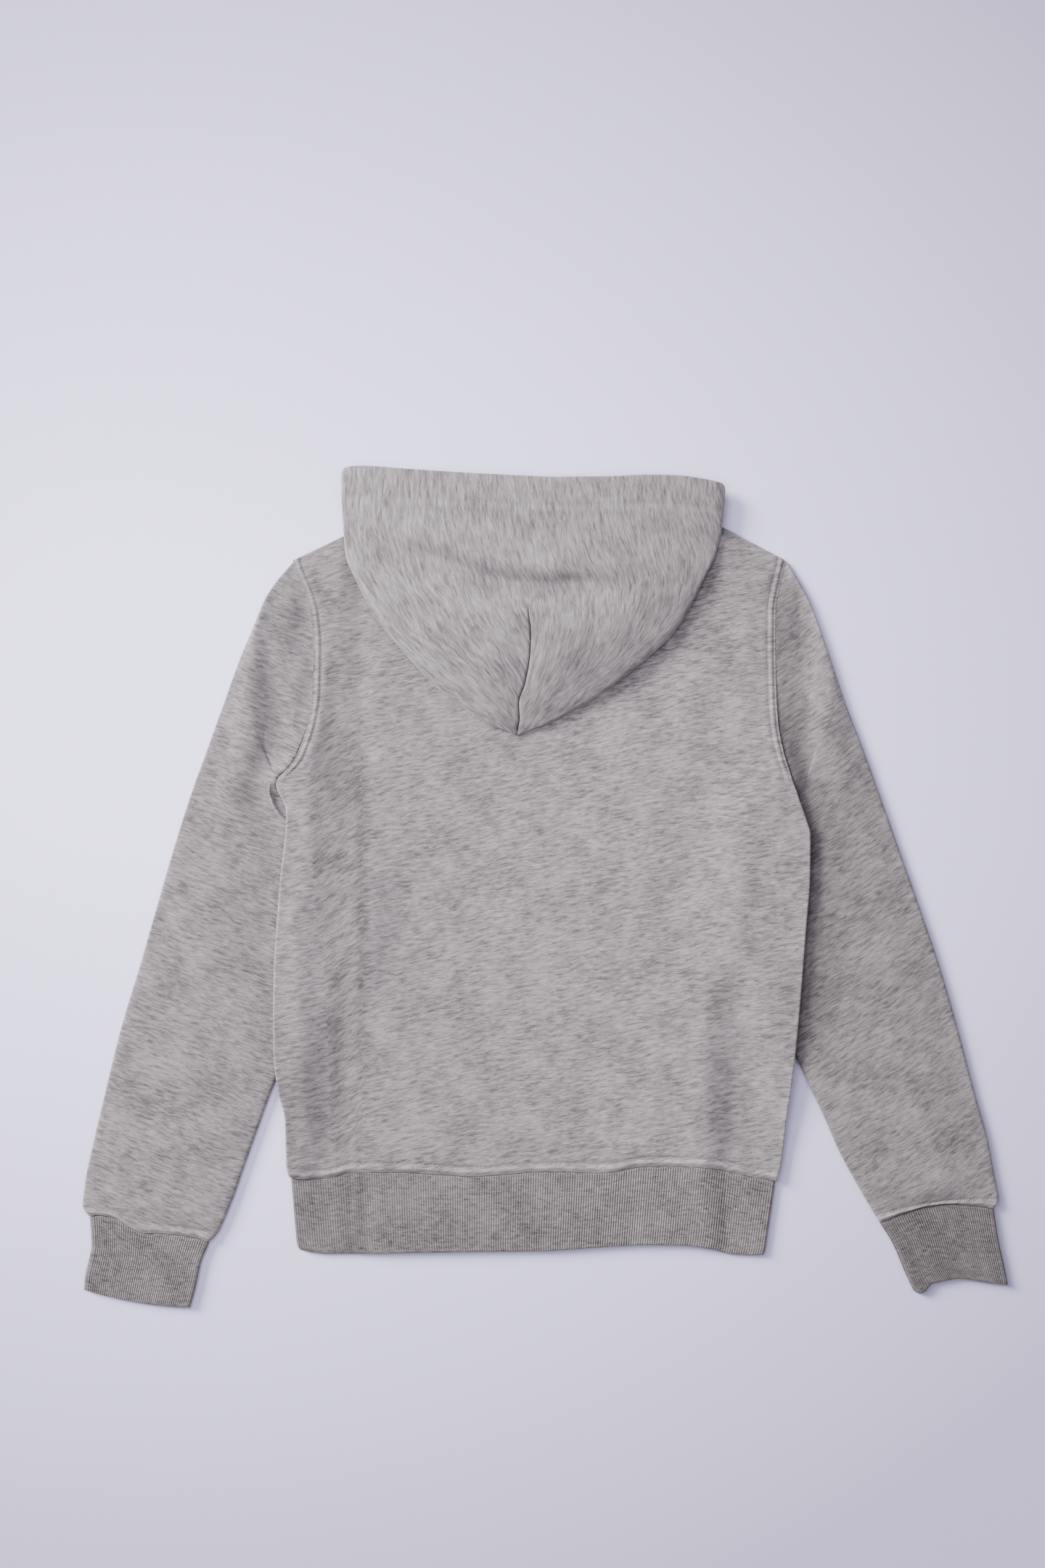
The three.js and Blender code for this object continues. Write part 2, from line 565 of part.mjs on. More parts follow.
// A cuff: a flattened ribbed tube, its ribs raised on the side that faces up.
const CUFF_HEIGHT = 5.4;
const CUFF_WALL = 2.1;
function cuff(rows, side) {
  const column = side < 0 ? 'left' : 'right';
  const nominal = Math.hypot(rows[0].outX - rows[0].inX, rows[0].outY - rows[0].inY);
  const ribs = Math.round((nominal - CUFF_HEIGHT) / RIB_PITCH);
  const r = CUFF_HEIGHT / 2;
  const edge = r * CORNER;
  const outer = [
    [0, r],
    [edge, CUFF_HEIGHT - edge],
  ];
  for (let i = 0; i <= 2 * ribs; i += 1) {
    const across = lerp(r, nominal - r, i / (2 * ribs));
    outer.push([across, CUFF_HEIGHT + (i % 2 ? RIB_RISE : 0)]);
  }
  outer.push([nominal - edge, CUFF_HEIGHT - edge], [nominal, r], [nominal - edge, edge]);
  outer.push([nominal - r, 0]);
  for (const t of TUBE_UNDER) outer.push([nominal * t, 0]);
  outer.push([r, 0], [edge, edge]);
  const inner = [[CUFF_WALL, r]];
  for (const t of [0.04, ...[...TUBE_UNDER].reverse(), 0.96]) {
    inner.push([nominal * t, CUFF_HEIGHT - CUFF_WALL]);
  }
  inner.push([nominal - CUFF_WALL, r]);
  for (const t of [0.96, ...TUBE_UNDER, 0.04]) inner.push([nominal * t, CUFF_WALL]);
  const sections = rows.map((row) => {
    const place = ([across, z]) => {
      const t = across / nominal;
      const wave = row.wave * straight(CUFF_WAVE, 'across', column, t);
      const y = lerp(row.outY, row.inY, t) + wave + row.sag * 4 * t * (1 - t);
      return [lerp(row.outX, row.inX, t), y, z];
    };
    return { outer: outer.map(place), inner: inner.map(place) };
  });
  return loftWall(sections, true);
}

// ---------------------------------------------------------------- the hem rib
// One doubled band from the left zip edge round the back to the right zip edge.
const HEM_SEAM_GAP = 0.8; // between the hem's seam line and the band, seen from above
const HEM_INNER = [-0.97, -0.85, -0.74, -0.66, -0.6, -0.3, 0, 0.3, 0.6, 0.66, 0.74, 0.85, 0.97];
function hemRib() {
  const nominal = HEM_SIDES[0].right - HEM_SIDES[0].left;
  const ribs = Math.round(nominal / RIB_PITCH) - 3;
  const base = CLOTH + SEAM_GAP;
  const r = (base + RIB_CLOTH) / 2;
  const lastRow = SIDES[SIDES.length - 1];
  const seamThrough = (places) => places.map((x) => ({ x, y: hemSeam(x) })).sort((a, b) => a.x - b.x);
  const backSeam = seamThrough(bodyPlaces(lastRow));
  const sections = HEM_SIDES.map((row) => {
    const width = row.right - row.left;
    const middle = (row.left + row.right) / 2;
    const form = (x) => 0.9 * air(x, hemSeam(x));
    const at = (x, z, seam) => [x, lerp(seam - HEM_SEAM_GAP, hemFoot(x), row.down), z];
    const above = (x, z) => at(x, z, straight(backSeam, 'x', 'y', x));
    // The band's front parts meet the fronts, so they have points at the same places across.
    const under = (side, z) => {
      const frontSeam = seamThrough(frontPlaces(lastRow, side));
      const places = frontPlaces({ left: row.left + 3, right: row.right - 3 }, side);
      return places.map((x) => at(x, z, straight(frontSeam, 'x', 'y', x)));
    };
    const ribbed = Array.from({ length: 2 * ribs + 1 }, (_, i) => {
      const x = row.left + lerp(r, width - r, i / (2 * ribs));
      return above(x, base + RIB_CLOTH + form(x) - row.roll + (i % 2 ? RIB_RISE : 0));
    });
    const plain = HEM_INNER.map((t) => {
      const x = middle + (t * width) / 2;
      return above(x, base + form(x) - row.roll * 0.3);
    });
    const outer = [
      ...under(-1, 0).reverse(),
      above(row.left, r),
      ...ribbed,
      above(row.right, r),
      ...under(1, 0),
    ];
    const inner = [
      ...under(-1, CLOTH).reverse(),
      above(row.left + 2.6, CLOTH + SEAM_GAP / 2),
      ...plain,
      above(row.right - 2.6, CLOTH + SEAM_GAP / 2),
      ...under(1, CLOTH),
    ];
    return { outer, inner };
  });
  return loftWall(sections, false);
}

// ---------------------------------------------------------------- the hood
const HOOD_SHARES = [0.02, 0.07, 0.17, 0.32, 0.5, 0.68, 0.86]; // from the crown line to a side fold
const HOOD_UNDER = [0.1, 0.35, 0.65, 0.9];
const RIM_SLOPE = 0.047; // the rim is lower on the right

function hoodTop(x, y, row) {
  const centre = (row.left + row.right) / 2;
  const half = (row.right - row.left) / 2;
  const in01 = clamp01(1 - Math.abs(x - centre) / half);
  const dome = 1 - (1 - in01) ** 2.6;
  const trough = bell(y - along(HOOD_TROUGH, 'x', 'y', x), TROUGH_WIDTH);
  const sag = TROUGH_DEPTH * trough * smooth(0.05, 0.5, in01);
  const pinch = 1 - smooth(CROWN_TOP - 22, CROWN_TOP, y);
  const groove = CROWN_DEPTH * pinch * (bell(x - row.seam, 2.4) + 0.35 * bell(x - row.seam, 12));
  const hem = HOOD_HEM_RISE * smooth(-HOOD_HEM - 1, -HOOD_HEM, y - HOOD[0].y);
  return HOOD_SIDE + (row.crest - HOOD_SIDE) * dome - sag - groove + hem;
}

function hoodRing(y, inset) {
  const at = (column) => along(HOOD, 'y', column, y);
  const row = { left: at('left'), right: at('right'), seam: at('seam'), crest: at('crest') };
  const [low, side] = [HOOD_BASE + inset, HOOD_SIDE - inset];
  const radius = (side - low) / 2;
  const slope = RIM_SLOPE * smooth(262, 330, y);
  const ring = [];
  const add = (x, z) => ring.push([x, y - slope * x, z]);
  const leftIn = row.left + inset + radius;
  const rightIn = row.right - inset - radius;
  const topAt = (x) => hoodTop(x, y, row) - inset;
  const fold = (edge, turn, share, z) => add(edge + turn * (inset + radius * share), z);
  const middle = (low + side) / 2;
  fold(row.left, 1, 0, middle);
  fold(row.left, 1, CORNER, middle + radius * Math.SQRT1_2);
  add(leftIn, topAt(leftIn));
  for (const s of [...HOOD_SHARES].reverse()) {
    const x = lerp(row.seam, leftIn, s);
    add(x, topAt(x));
  }
  add(row.seam, topAt(row.seam));
  for (const s of HOOD_SHARES) {
    const x = lerp(row.seam, rightIn, s);
    add(x, topAt(x));
  }
  add(rightIn, topAt(rightIn));
  fold(row.right, -1, CORNER, middle + radius * Math.SQRT1_2);
  fold(row.right, -1, 0, middle);
  fold(row.right, -1, CORNER, middle - radius * Math.SQRT1_2);
  add(rightIn, low);
  for (const s of HOOD_UNDER) add(lerp(rightIn, leftIn, s), low);
  add(leftIn, low);
  fold(row.left, 1, CORNER, middle - radius * Math.SQRT1_2);
  return ring;
}

// The hood's front part on one side: a flat wall from the front neckline up to the rim, and the
// bend over the neck point by which it runs into the hood's lower layer.
const BEND = [
  { side: -1, rimY: 355.5 },
  { side: 1, rimY: 351 },
];
const BEND_IN = 101; // centre line to the bend's inner end
const BEND_OUT = 140;
function hoodFront({ side, rimY }) {
  const flat = new THREE.Shape();
  const rise = rimY - 4;
  flat.moveTo(side * (ZIP_EDGE + 0.6), frontTopY(ZIP_EDGE) + 9);
  const seamX = [...FRONT_LINES].reverse().filter((x) => x <= NECK_HALF);
  seamX.forEach((x, i) => {
    const [a, b] = [seamX[Math.max(i - 1, 0)], seamX[Math.min(i + 1, seamX.length - 1)]];
    const [dx, dy] = [b - a, frontTopY(b) - frontTopY(a)];
    const off = (1.4 * PLAN_GAP) / Math.hypot(dx, dy);
    flat.lineTo(side * (x - dy * off), frontTopY(x) + dx * off);
  });
  flat.lineTo(side * (NECK_HALF + 1), NECK_Y + 1.4);
  flat.lineTo(side * BEND_OUT, rise - 3);
  flat.lineTo(side * BEND_OUT, rise);
  flat.lineTo(side * BEND_IN, rise);
  flat.quadraticCurveTo(side * 62, 316, side * (ZIP_EDGE + 0.6), frontTopY(ZIP_EDGE) + 9);
  const plate = new THREE.ExtrudeGeometry(flat, { depth: CLOTH, bevelEnabled: false, curveSegments: 5 });
  const profile = new THREE.Shape();
  const top = HOOD_BASE + CLOTH;
  profile.moveTo(rise - 2, 0.05);
  profile.lineTo(rimY - 1.6, 0.05);
  profile.quadraticCurveTo(rimY, 0.05, rimY, 2.4);
  profile.lineTo(rimY, top - 2.2);
  profile.quadraticCurveTo(rimY, top - 0.05, rimY - 2, top - 0.05);
  profile.lineTo(rimY - 13, top - 0.05);
  profile.lineTo(rimY - 13, HOOD_BASE + 0.05);
  profile.lineTo(rimY - CLOTH - 0.2, HOOD_BASE + 0.05);
  profile.lineTo(rimY - CLOTH - 0.2, CLOTH - 0.05);
  profile.lineTo(rise - 2, CLOTH - 0.05);
  profile.closePath();
  const width = BEND_OUT - BEND_IN;
  const bend = new THREE.ExtrudeGeometry(profile, { depth: width, bevelEnabled: false, curveSegments: 4 });
  // The profile's X is the layout's Y, its Y is the layout's Z, and its depth runs along X.
  const turn = new THREE.Matrix4().set(0, 0, 1, 0, 1, 0, 0, 0, 0, 1, 0, 0, 0, 0, 0, 1);
  bend.applyMatrix4(turn);
  bend.translate(side < 0 ? -BEND_OUT : BEND_IN, 0, 0);
  return solidOf(plate).add(solidOf(bend));
}

function hood() {
  const outer = HOOD_STATIONS.map((y) => hoodRing(y, 0));
  const inner = HOOD_STATIONS.slice(0, -1).map((y) => hoodRing(y, CLOTH));
  const seamX = HOOD[HOOD.length - 1].seam;
  const level = (HOOD_BASE + HOOD_SIDE) / 2;
  const tips = [
    [seamX, HOOD_TIP_Y, level],
    [seamX, HOOD_STATIONS[HOOD_STATIONS.length - 1] + 3.4, level],
  ];
  const pouch = solidOf(tubeWall(outer, inner, tips));
  const notch = new THREE.Shape();
  const steps = 10;
  const half = NECK_HALF - 3;
  notch.moveTo(-half, NECK_Y + 40);
  for (let i = 0; i <= steps; i += 1) {
    const x = lerp(-half, half, i / steps);
    notch.lineTo(x, backTopY(x));
  }
  notch.lineTo(half, NECK_Y + 40);
  const cutter = new THREE.ExtrudeGeometry(notch, { depth: 4.6, bevelEnabled: false });
  cutter.translate(0, 0, 6.4);
  let solid = pouch.subtract(solidOf(cutter));
  for (const row of BEND) solid = solid.add(hoodFront(row));
  return fromSolid(solid);
}

// ---------------------------------------------------------------- the zip
const ZIP_TOP = 256;
const TAPE_WIDTH = 13.5;
const TAPE_LOW = 2.7;
const TAPE_THICK = 1;
const SLIDER_Y = 241; // lower end of the slider
const HINGE = { y: 249.5, z: 1.3 };

function zipTape(side) {
  const foot = hemFoot(0) + 1;
  const outline = [
    [0.5, foot],
    [TAPE_WIDTH, foot],
    [TAPE_WIDTH, ZIP_TOP - 1],
    [3.2, ZIP_TOP - 1],
    [3.2, SLIDER_Y + 7.2],
    [0.5, SLIDER_Y + 4.2],
  ];
  const shape = new THREE.Shape(outline.map(([x, y]) => new THREE.Vector2(side * x, y)));
  const g = new THREE.ExtrudeGeometry(shape, { depth: TAPE_THICK, bevelEnabled: false });
  g.translate(0, 0, TAPE_LOW);
  return g;
}

const block = (width, length, height, y, z) => {
  const g = new THREE.BoxGeometry(width, length, height);
  g.translate(0, y + length / 2, z + height / 2);
  return solidOf(g);
};

// A wedge-shaped plate, wide where the two rows of teeth part.
function sliderPlate(z, height) {
  const s = new THREE.Shape();
  s.moveTo(-3.4, SLIDER_Y);
  s.lineTo(3.4, SLIDER_Y);
  s.lineTo(4.4, SLIDER_Y + 6);
  s.quadraticCurveTo(4.6, SLIDER_Y + 10.5, 2.4, SLIDER_Y + 11);
  s.lineTo(-2.4, SLIDER_Y + 11);
  s.quadraticCurveTo(-4.6, SLIDER_Y + 10.5, -4.4, SLIDER_Y + 6);
  const g = new THREE.ExtrudeGeometry(s, { depth: height, bevelEnabled: false, curveSegments: 4 });
  g.translate(0, 0, z);
  return solidOf(g);
}

function zipSlider() {
  const outerPlate = sliderPlate(1.95, 0.55);
  const innerPlate = sliderPlate(4.05, 0.7);
  const post = block(2, 2.2, 2, SLIDER_Y + 8.6, 2.3);
  const bridge = block(2, 7.6, 1.85, HINGE.y - 4.6, 0.2);
  const eye = block(3, 5.2, 1.25, HINGE.y - 3.4, 0.7);
  return fromSolid(outerPlate.add(innerPlate).add(post).add(bridge.subtract(eye)));
}

// The pull tab: a flat bar with a square eye whose cross bar passes under the slider's bridge.
const PULL_LENGTH = 27;
const PULL_THICK = 0.7;
function zipPull() {
  const s = new THREE.Shape();
  const top = HINGE.y + PULL_THICK / 2;
  const foot = HINGE.y - PULL_LENGTH;
  s.moveTo(-2.6, top);
  s.lineTo(-3.1, foot + 8);
  s.quadraticCurveTo(-3.1, foot, 0, foot);
  s.quadraticCurveTo(3.1, foot, 3.1, foot + 8);
  s.lineTo(2.6, top);
  const eye = new THREE.Path();
  eye.moveTo(-1.35, top - PULL_THICK);
  eye.lineTo(1.35, top - PULL_THICK);
  eye.lineTo(1.35, HINGE.y - 6.2);
  eye.lineTo(-1.35, HINGE.y - 6.2);
  s.holes.push(eye);
  const slot = new THREE.Path();
  slot.absarc(0, foot + 5, 1.5, 0, Math.PI * 2, true);
  s.holes.push(slot);
  const g = new THREE.ExtrudeGeometry(s, { depth: PULL_THICK, bevelEnabled: false, curveSegments: 6 });
  g.translate(0, 0, HINGE.z - PULL_THICK / 2);
  return g;
}

// ---------------------------------------------------------------- the garment
const fleece = { color: 0xbdbabb, roughness: 0.95, metalness: 0 };
const rib = { color: 0xa7a49f, roughness: 0.95, metalness: 0 };
const tapeCloth = { color: 0xb3b0b0, roughness: 0.9, metalness: 0 };
const metal = { color: 0x9a9a9c, roughness: 0.35, metalness: 1 };

const hoodie = new THREE.Group();
function put(name, geometry, look) {
  const mesh = new THREE.Mesh(geometry, new THREE.MeshStandardMaterial(look));
  mesh.name = name;
  hoodie.add(mesh);
}

put('back_panel', backPanel(), fleece);
put('front_left', frontPanel(-1), fleece);
put('front_right', frontPanel(1), fleece);
put('sleeve_left', sleeve(SLEEVE_LEFT, -1), fleece);
put('sleeve_right', sleeve(SLEEVE_RIGHT, 1), fleece);
put('cuff_left', cuff(CUFF_LEFT, -1), rib);
put('cuff_right', cuff(CUFF_RIGHT, 1), rib);
put('hem_rib', hemRib(), rib);
put('hood', hood(), fleece);
put('zip_tape_left', zipTape(-1), tapeCloth);
put('zip_tape_right', zipTape(1), tapeCloth);
put('zip_slider', zipSlider(), metal);
put('zip_pull', zipPull(), metal);

export default hoodie;
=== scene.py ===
"""A zip-up hoodie in heather-grey brushed fleece, lying face down on a pale surface.

Every cloth piece is a closed wall: an outer and an inner grid of points, worked out as whole
arrays from short tables of the layout and joined at their edges. Tables and surface formulas
are in millimetres in the model's frame, and make_piece turns them into metres.
"""

import bpy
import numpy as np
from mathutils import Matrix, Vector


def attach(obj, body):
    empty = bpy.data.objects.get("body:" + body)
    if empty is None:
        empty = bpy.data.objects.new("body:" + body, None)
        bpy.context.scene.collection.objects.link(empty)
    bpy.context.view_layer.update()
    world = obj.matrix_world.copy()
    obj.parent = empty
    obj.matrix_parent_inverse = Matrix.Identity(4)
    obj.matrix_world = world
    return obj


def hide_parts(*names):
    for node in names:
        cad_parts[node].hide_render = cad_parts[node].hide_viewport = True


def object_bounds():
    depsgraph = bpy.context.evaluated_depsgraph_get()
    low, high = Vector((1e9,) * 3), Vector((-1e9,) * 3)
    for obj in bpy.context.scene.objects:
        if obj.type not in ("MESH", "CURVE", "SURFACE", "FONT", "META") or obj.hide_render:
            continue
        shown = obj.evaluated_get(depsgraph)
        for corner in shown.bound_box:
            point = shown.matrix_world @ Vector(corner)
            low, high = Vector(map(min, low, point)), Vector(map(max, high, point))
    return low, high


MM = 0.001
SIDE_NAMES = {-1: "left", 1: "right"}  # as the garment lies in the layout

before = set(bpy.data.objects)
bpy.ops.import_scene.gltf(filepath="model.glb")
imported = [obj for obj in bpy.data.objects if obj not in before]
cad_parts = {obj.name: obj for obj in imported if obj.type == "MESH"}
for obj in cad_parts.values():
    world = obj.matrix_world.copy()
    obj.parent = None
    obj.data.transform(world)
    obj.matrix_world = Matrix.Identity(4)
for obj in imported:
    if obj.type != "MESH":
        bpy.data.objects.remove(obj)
cad_low, cad_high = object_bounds()


# ---------------------------------------------------------------- tables of the layout
def table(columns, rows):
    """Rows of numbers under named columns, as one array for each column."""
    names = columns.split()
    values = np.array(rows.split(), float).reshape(-1, len(names))
    return {name: values[:, i] for i, name in enumerate(names)}


CLOTH = 2.2  # fleece thickness
RIB_CLOTH = 2.4  # doubled rib knit
RIB_PITCH = 2.1  # from one rib to the next
RIB_DEPTH = 0.8  # from a rib's crest down to the groove beside it
SEAM_GAP = 0.3  # between layers that lie on each other
SEAM_LINE = 0.05  # between two pieces sewn edge to edge
FREE_LIP = 0.12  # share of the cloth's thickness left at a free edge, which is rounded over
SEWN_LIP = 0.85  # and at an edge that is sewn to its neighbour
STITCH_PROUD = 0.14  # a stitch's middle over the cloth
NECK_HALF = 100  # half the neckline's width, where it meets the shoulders at NECK_Y
NECK_Y = 336
BACK_NECK_DROP = 18
FRONT_NECK_DROP = 80
ZIP_EDGE = 5.4  # from the zip's middle to the cut edge of a front
ZIP_STITCH = 6.5  # from that edge to the row of stitches beside it
TAPE_CLOTH = 0.8
TAPE_MIDDLE = 3.2  # height of the middle of the zip's tapes
TAPE_TOP = 254.8  # how far up the tapes reach
TEETH_TOP = 236  # and their teeth, up to the slider
SLEEVE_FLAT = 5.6  # height of a sleeve at its folded sides
LIFT = 6.4  # rise of the body where it lies over a sleeve
LIFT_MARGIN = 8  # from the sleeve's hidden edge to the start of the slope
LIFT_RAMP = 55  # width of the slope
PLATEAU = 2.6  # air between the fronts and the back
LOOSE = 1.7  # further air under the back, away from its seams
HOOD_BASE = 7.7  # height of the hood's lower layer
HOOD_SIDE = 13  # height of the hood's side folds
HOOD_HEM = 24  # depth of the hem round the hood's rim
HOOD_FLOAT = 3.2  # air below the hood's side folds
CROWN_TOP = 243  # the crown seam's pinched cloth lies below this
ARMHOLE_TURN = 125  # lowest place on the armhole that a sleeve is sewn square to
WING_RIM = {-1: 355.5, 1: 351}  # how far up the hood's front parts reach

# Side edges of the body, from the shoulder tips down to the hem.
SIDES = table(
    "y left right",
    """
    280 -216.5 206    270 -213 203.6    255 -206.4 200    235 -201 197      208 -198.7 196.9
    170 -199.4 197.5  140 -203.7 199    113 -212.6 204    101 -221 208      95 -227.5 210
    89 -230.3 212     83 -229 214.5     76 -225 216.6     68 -222 219.6     58 -221.6 223
    45 -222.5 226.4   10 -226.5 226     -35 -230 222.6    -70 -232.2 219.9  -105 -232.9 217
    -137 -232.6 214   -170 -229.5 210.2 -200 -222.8 206   -225 -222.3 203.5 -241 -221.5 200.8
    -247 -219.5 198.6
    """,
)
SIDE_TOP, SIDE_FOOT = 280, -247

# The hem's seam line and foot, across the body.
HEM_LINES = table(
    "x seam foot",
    """
    -220 -247.4 -308  -205 -250 -311.5  -187 -249 -313.6  -163 -243.7 -313.4  -124 -243.7 -312.7
    -64 -246.8 -311.6  4 -243 -310.6    50 -244 -307.4    85 -238.7 -305.7    118 -238.5 -306
    140 -240 -308.8   160 -244 -314     180 -248.6 -314.8 199 -251.3 -313
    """,
)
# Side folds of the hem rib, by the share down it.
HEM_SIDES = table("down left right", "0 -218.3 197.3  0.95 -213.2 188.6  1 -210.5 187")

# Hidden inner edge of each sleeve, beneath the body.
TUCK = table(
    "y left right",
    """
    130 -216 211  100 -209 206  84 -203 201  66 -197 196  48 -190 189  24 -180 181
    0 -176 178.5  -25 -177.5 179.5  -49 -183.5 183.5  -76 -192 189.5  -105 -203 199
    -135 -216 210  -163 -229 222.5  -192 -240.5 236.5  -225 -253 251
    """,
)

# Sections across each sleeve: outer end, inner end, sideways bow, how far the cloth rises over
# the flat height, and the share across that the rise reaches.
SLEEVE_COLUMNS = "out_x out_y in_x in_y bow rise reach"
SLEEVE_LEFT = table(
    SLEEVE_COLUMNS,
    """
    -217.1 279 -209 84 0 0 1            -227 267 -209.6 77 -6 1.1 0.7
    -239.5 249 -207.7 67 -9 0.2 0.6     -251 222 -202.8 53 -12 1.5 0.5
    -262.6 194 -193 34 -10 2.1 0.46     -276 157 -177.5 0 0 2.3 0.46
    -289.5 119.7 -179 -25 0 2.2 0.52    -303 82.5 -185 -49 0 2 0.56
    -317 39 -193.5 -76 0 1.8 0.62       -331.5 -10.5 -204.5 -105 0 1.9 0.72
    -347.5 -66.3 -217.5 -135 0 2.1 0.86 -364.3 -122 -230.5 -163 0 2.2 1
    -378 -178 -246 -205 0 2 1           -387 -216 -257.5 -237 0 1.9 1
    -394.6 -252 -268.5 -268 0 2.2 1     -396.8 -272 -281 -296 0 1.9 1
    -391.5 -281.6 -288.4 -303.9 0 0 1
    """,
)
SLEEVE_RIGHT = table(
    SLEEVE_COLUMNS,
    """
    206.8 280 203 83 0 0 1              213.5 268.5 203.6 76 6 -0.7 0.7
    224.3 249.5 202 66 9 -0.4 0.6       235 222.5 197.7 52 11 0.8 0.5
    245.2 194 189.5 33 11 1.7 0.46      257.6 157 179 0 2 2.2 0.46
    272 119.7 180 -25 0 2.3 0.48        285.5 82.5 184 -49 0 2.3 0.5
    302 36 190 -76 0 2.2 0.58           319 -12 199 -104 0 2.1 0.68
    337.6 -66.3 210 -134 0 2.1 0.82     355.2 -127 222.5 -162 0 2.2 1
    368.6 -178 238.5 -196 0 2 1         379 -215 252.5 -227.5 0 1.9 1
    385.3 -248 268 -256 0 2.2 1         388.7 -266 282 -280 0 1.9 1
    384.5 -275.2 286.4 -287 0 0 1
    """,
)
# Share across from the outer fold, and how far the cuff's seam and its foot wave along the arm.
CUFF_WAVE = table(
    "across left right",
    """
    0 0 0  0.1 3.4 3.4  0.22 3.9 5.8  0.34 -1.2 8  0.46 -4 9.3  0.58 -1.2 9.2  0.69 0.1 7.6
    0.88 1.7 3.4  1 0 0
    """,
)
CUFF_FOOT = table(
    "across left right",
    """
    0 0 0  0.2 0 1.3  0.31 0 2.5  0.52 0 5.4  0.7 0 4.3  0.81 0 3.4  0.87 0 -1.6  0.93 0 -3.4
    0.97 0 -1.8  1 0 0
    """,
)
# Sections across each cuff: outer end, inner end, sag of its middle, share of the seam's wave.
CUFF_COLUMNS = "out_x out_y in_x in_y sag wave"
CUFF_LEFT = table(
    CUFF_COLUMNS,
    """
    -390.6 -282.2 -288.4 -304.3 0 1     -389.2 -306 -295.4 -322 -1 0.3
    -394.4 -331 -299.5 -341 -3 0        -395.7 -344.5 -304.5 -359.4 -3 0
    """,
)
CUFF_RIGHT = table(
    CUFF_COLUMNS,
    """
    384.4 -275.6 286.6 -287.4 0 1       387.6 -297.5 297.5 -305 2 0.4
    393.4 -325 307.5 -328.5 1 0         396.5 -340.5 315.5 -345.5 3 0
    """,
)

# The hood's side folds and crown seam, from the rim down to the tip, and its dome's height.
HOOD = table(
    "y left right seam crest",
    """
    351.3 -174.5 154 -14 17.8      327 -174.3 152.5 -14 19.4      306 -173 149.7 -15 20.6
    284 -170.8 144.5 -15 21.6      262 -161.5 134.2 -15 22.4      237 -149 121.8 -14.6 23.2
    216 -133.6 108 -12.6 23.4      197 -117.5 88 -13.6 22.6       175 -97 60.5 -17.5 20.4
    157 -74.7 33.8 -23 18          145 -58 11.5 -22.4 16          137 -44 -5 -23.6 14.4
    131.8 -32 -17 -24.4 13.2
    """,
)
HOOD_RIM, HOOD_TIP = 351.3, 130.2
# The hood's free rim, across it: a shallow wave.
RIM_LINE = table(
    "x y",
    """
    -175 358.2  -160 360.2  -120 357.4  -75 354.2  -30 351.8  8 350.3  55 350.8  88 352.2
    112 351.8   134 349.2   154 344.8
    """,
)
# Direction of the hood's streaks, in degrees from the X axis: at the left fold, half way to the
# crown line and beside it, and the same on its right.
HOOD_TURNS = table(
    "y left left_half left_seam right_seam right_half right",
    """
    351 88 96 98 98 97 96       327 91 96 97 97 97 99      300 97 100 99 99 100 105
    284 108 108 109 105 104 96  268 116 110 115 116 113 82 252 120 115 109 99 97 70
    234 125 119 112 89 85 58    219 130 124 118 84 76 47   203 135 128 121 80 64 40
    188 140 133 118 75 55 36    172 144 136 118 71 50 34   157 146 138 118 68 48 34
    141 148 138 118 66 46 34
    """,
)
# The long sag across the hood, from fold to fold: where it lies and how deep it is.
HOOD_TROUGH = table(
    "x y depth",
    """
    -175 303 0.1   -132 289 0.5   -103 282.5 0.85   -77 274 1.1   -54 266.6 1.15   -28 259.5 1.1
    1.5 258 1   34 258.5 0.75   63.5 259.5 0.4   100 265 0.12   154 286 0.03
    """,
)

# Soft creases of each piece: from one end to the other, how far the middle is bowed sideways,
# the width at half height on each side, and the height, negative for a trough.
CREASE_COLUMNS = "x0 y0 x1 y1 bow width height"
BACK_CREASES = table(
    CREASE_COLUMNS,
    """
    -188 240 -178 -330 -2 15 -2.4    -160 230 -160 -330 0 7 2.0       -213 60 -214 -330 0 11 1.2
    172 -40 171 -330 -2 15 -2.6      134 -20 134 -330 2 13 1.4        128 200 96 60 6 14 0.9
    -216 60 -150 92 6 9 1.2          -214 20 -160 48 5 10 0.9         -190 110 -150 60 -6 11 -1.0
    180 120 120 70 5 12 -0.9         190 150 130 120 4 10 0.8         -60 -120 60 -128 6 22 0.8
    -120 -190 20 -205 -5 16 0.8      40 60 130 40 -6 20 0.7           -100 60 0 84 5 20 0.6
    60 -190 170 -205 5 12 0.8        -120 -236 -60 -226 3 8 0.9       20 -222 110 -214 -4 9 0.8
    -90 -20 -20 10 6 24 -0.6         20 -60 110 -90 -6 24 -0.6        -140 160 -90 110 6 16 -0.7
    """,
)
SLEEVE_LEFT_CREASES = table(
    CREASE_COLUMNS,
    """
    -228 256 -232 146 -6 11 -2.0      -246 262 -254 120 -4 12 1.8      -214 250 -212 140 4 5 1.0
    -250 170 -276 60 6 12 1.0        -232 40 -296 -10 8 14 0.9        -250 -60 -330 -80 -5 14 0.8
    -290 -150 -372 -170 6 16 0.8     -270 -210 -380 -236 -4 12 0.9    -300 -286 -350 -262 3 8 1.1
    -340 -276 -384 -250 2 7 1.0      -286 -282 -300 -230 3 8 0.9      -260 90 -240 20 5 9 -1.0
    -320 10 -345 -60 5 12 -0.8
    """,
)
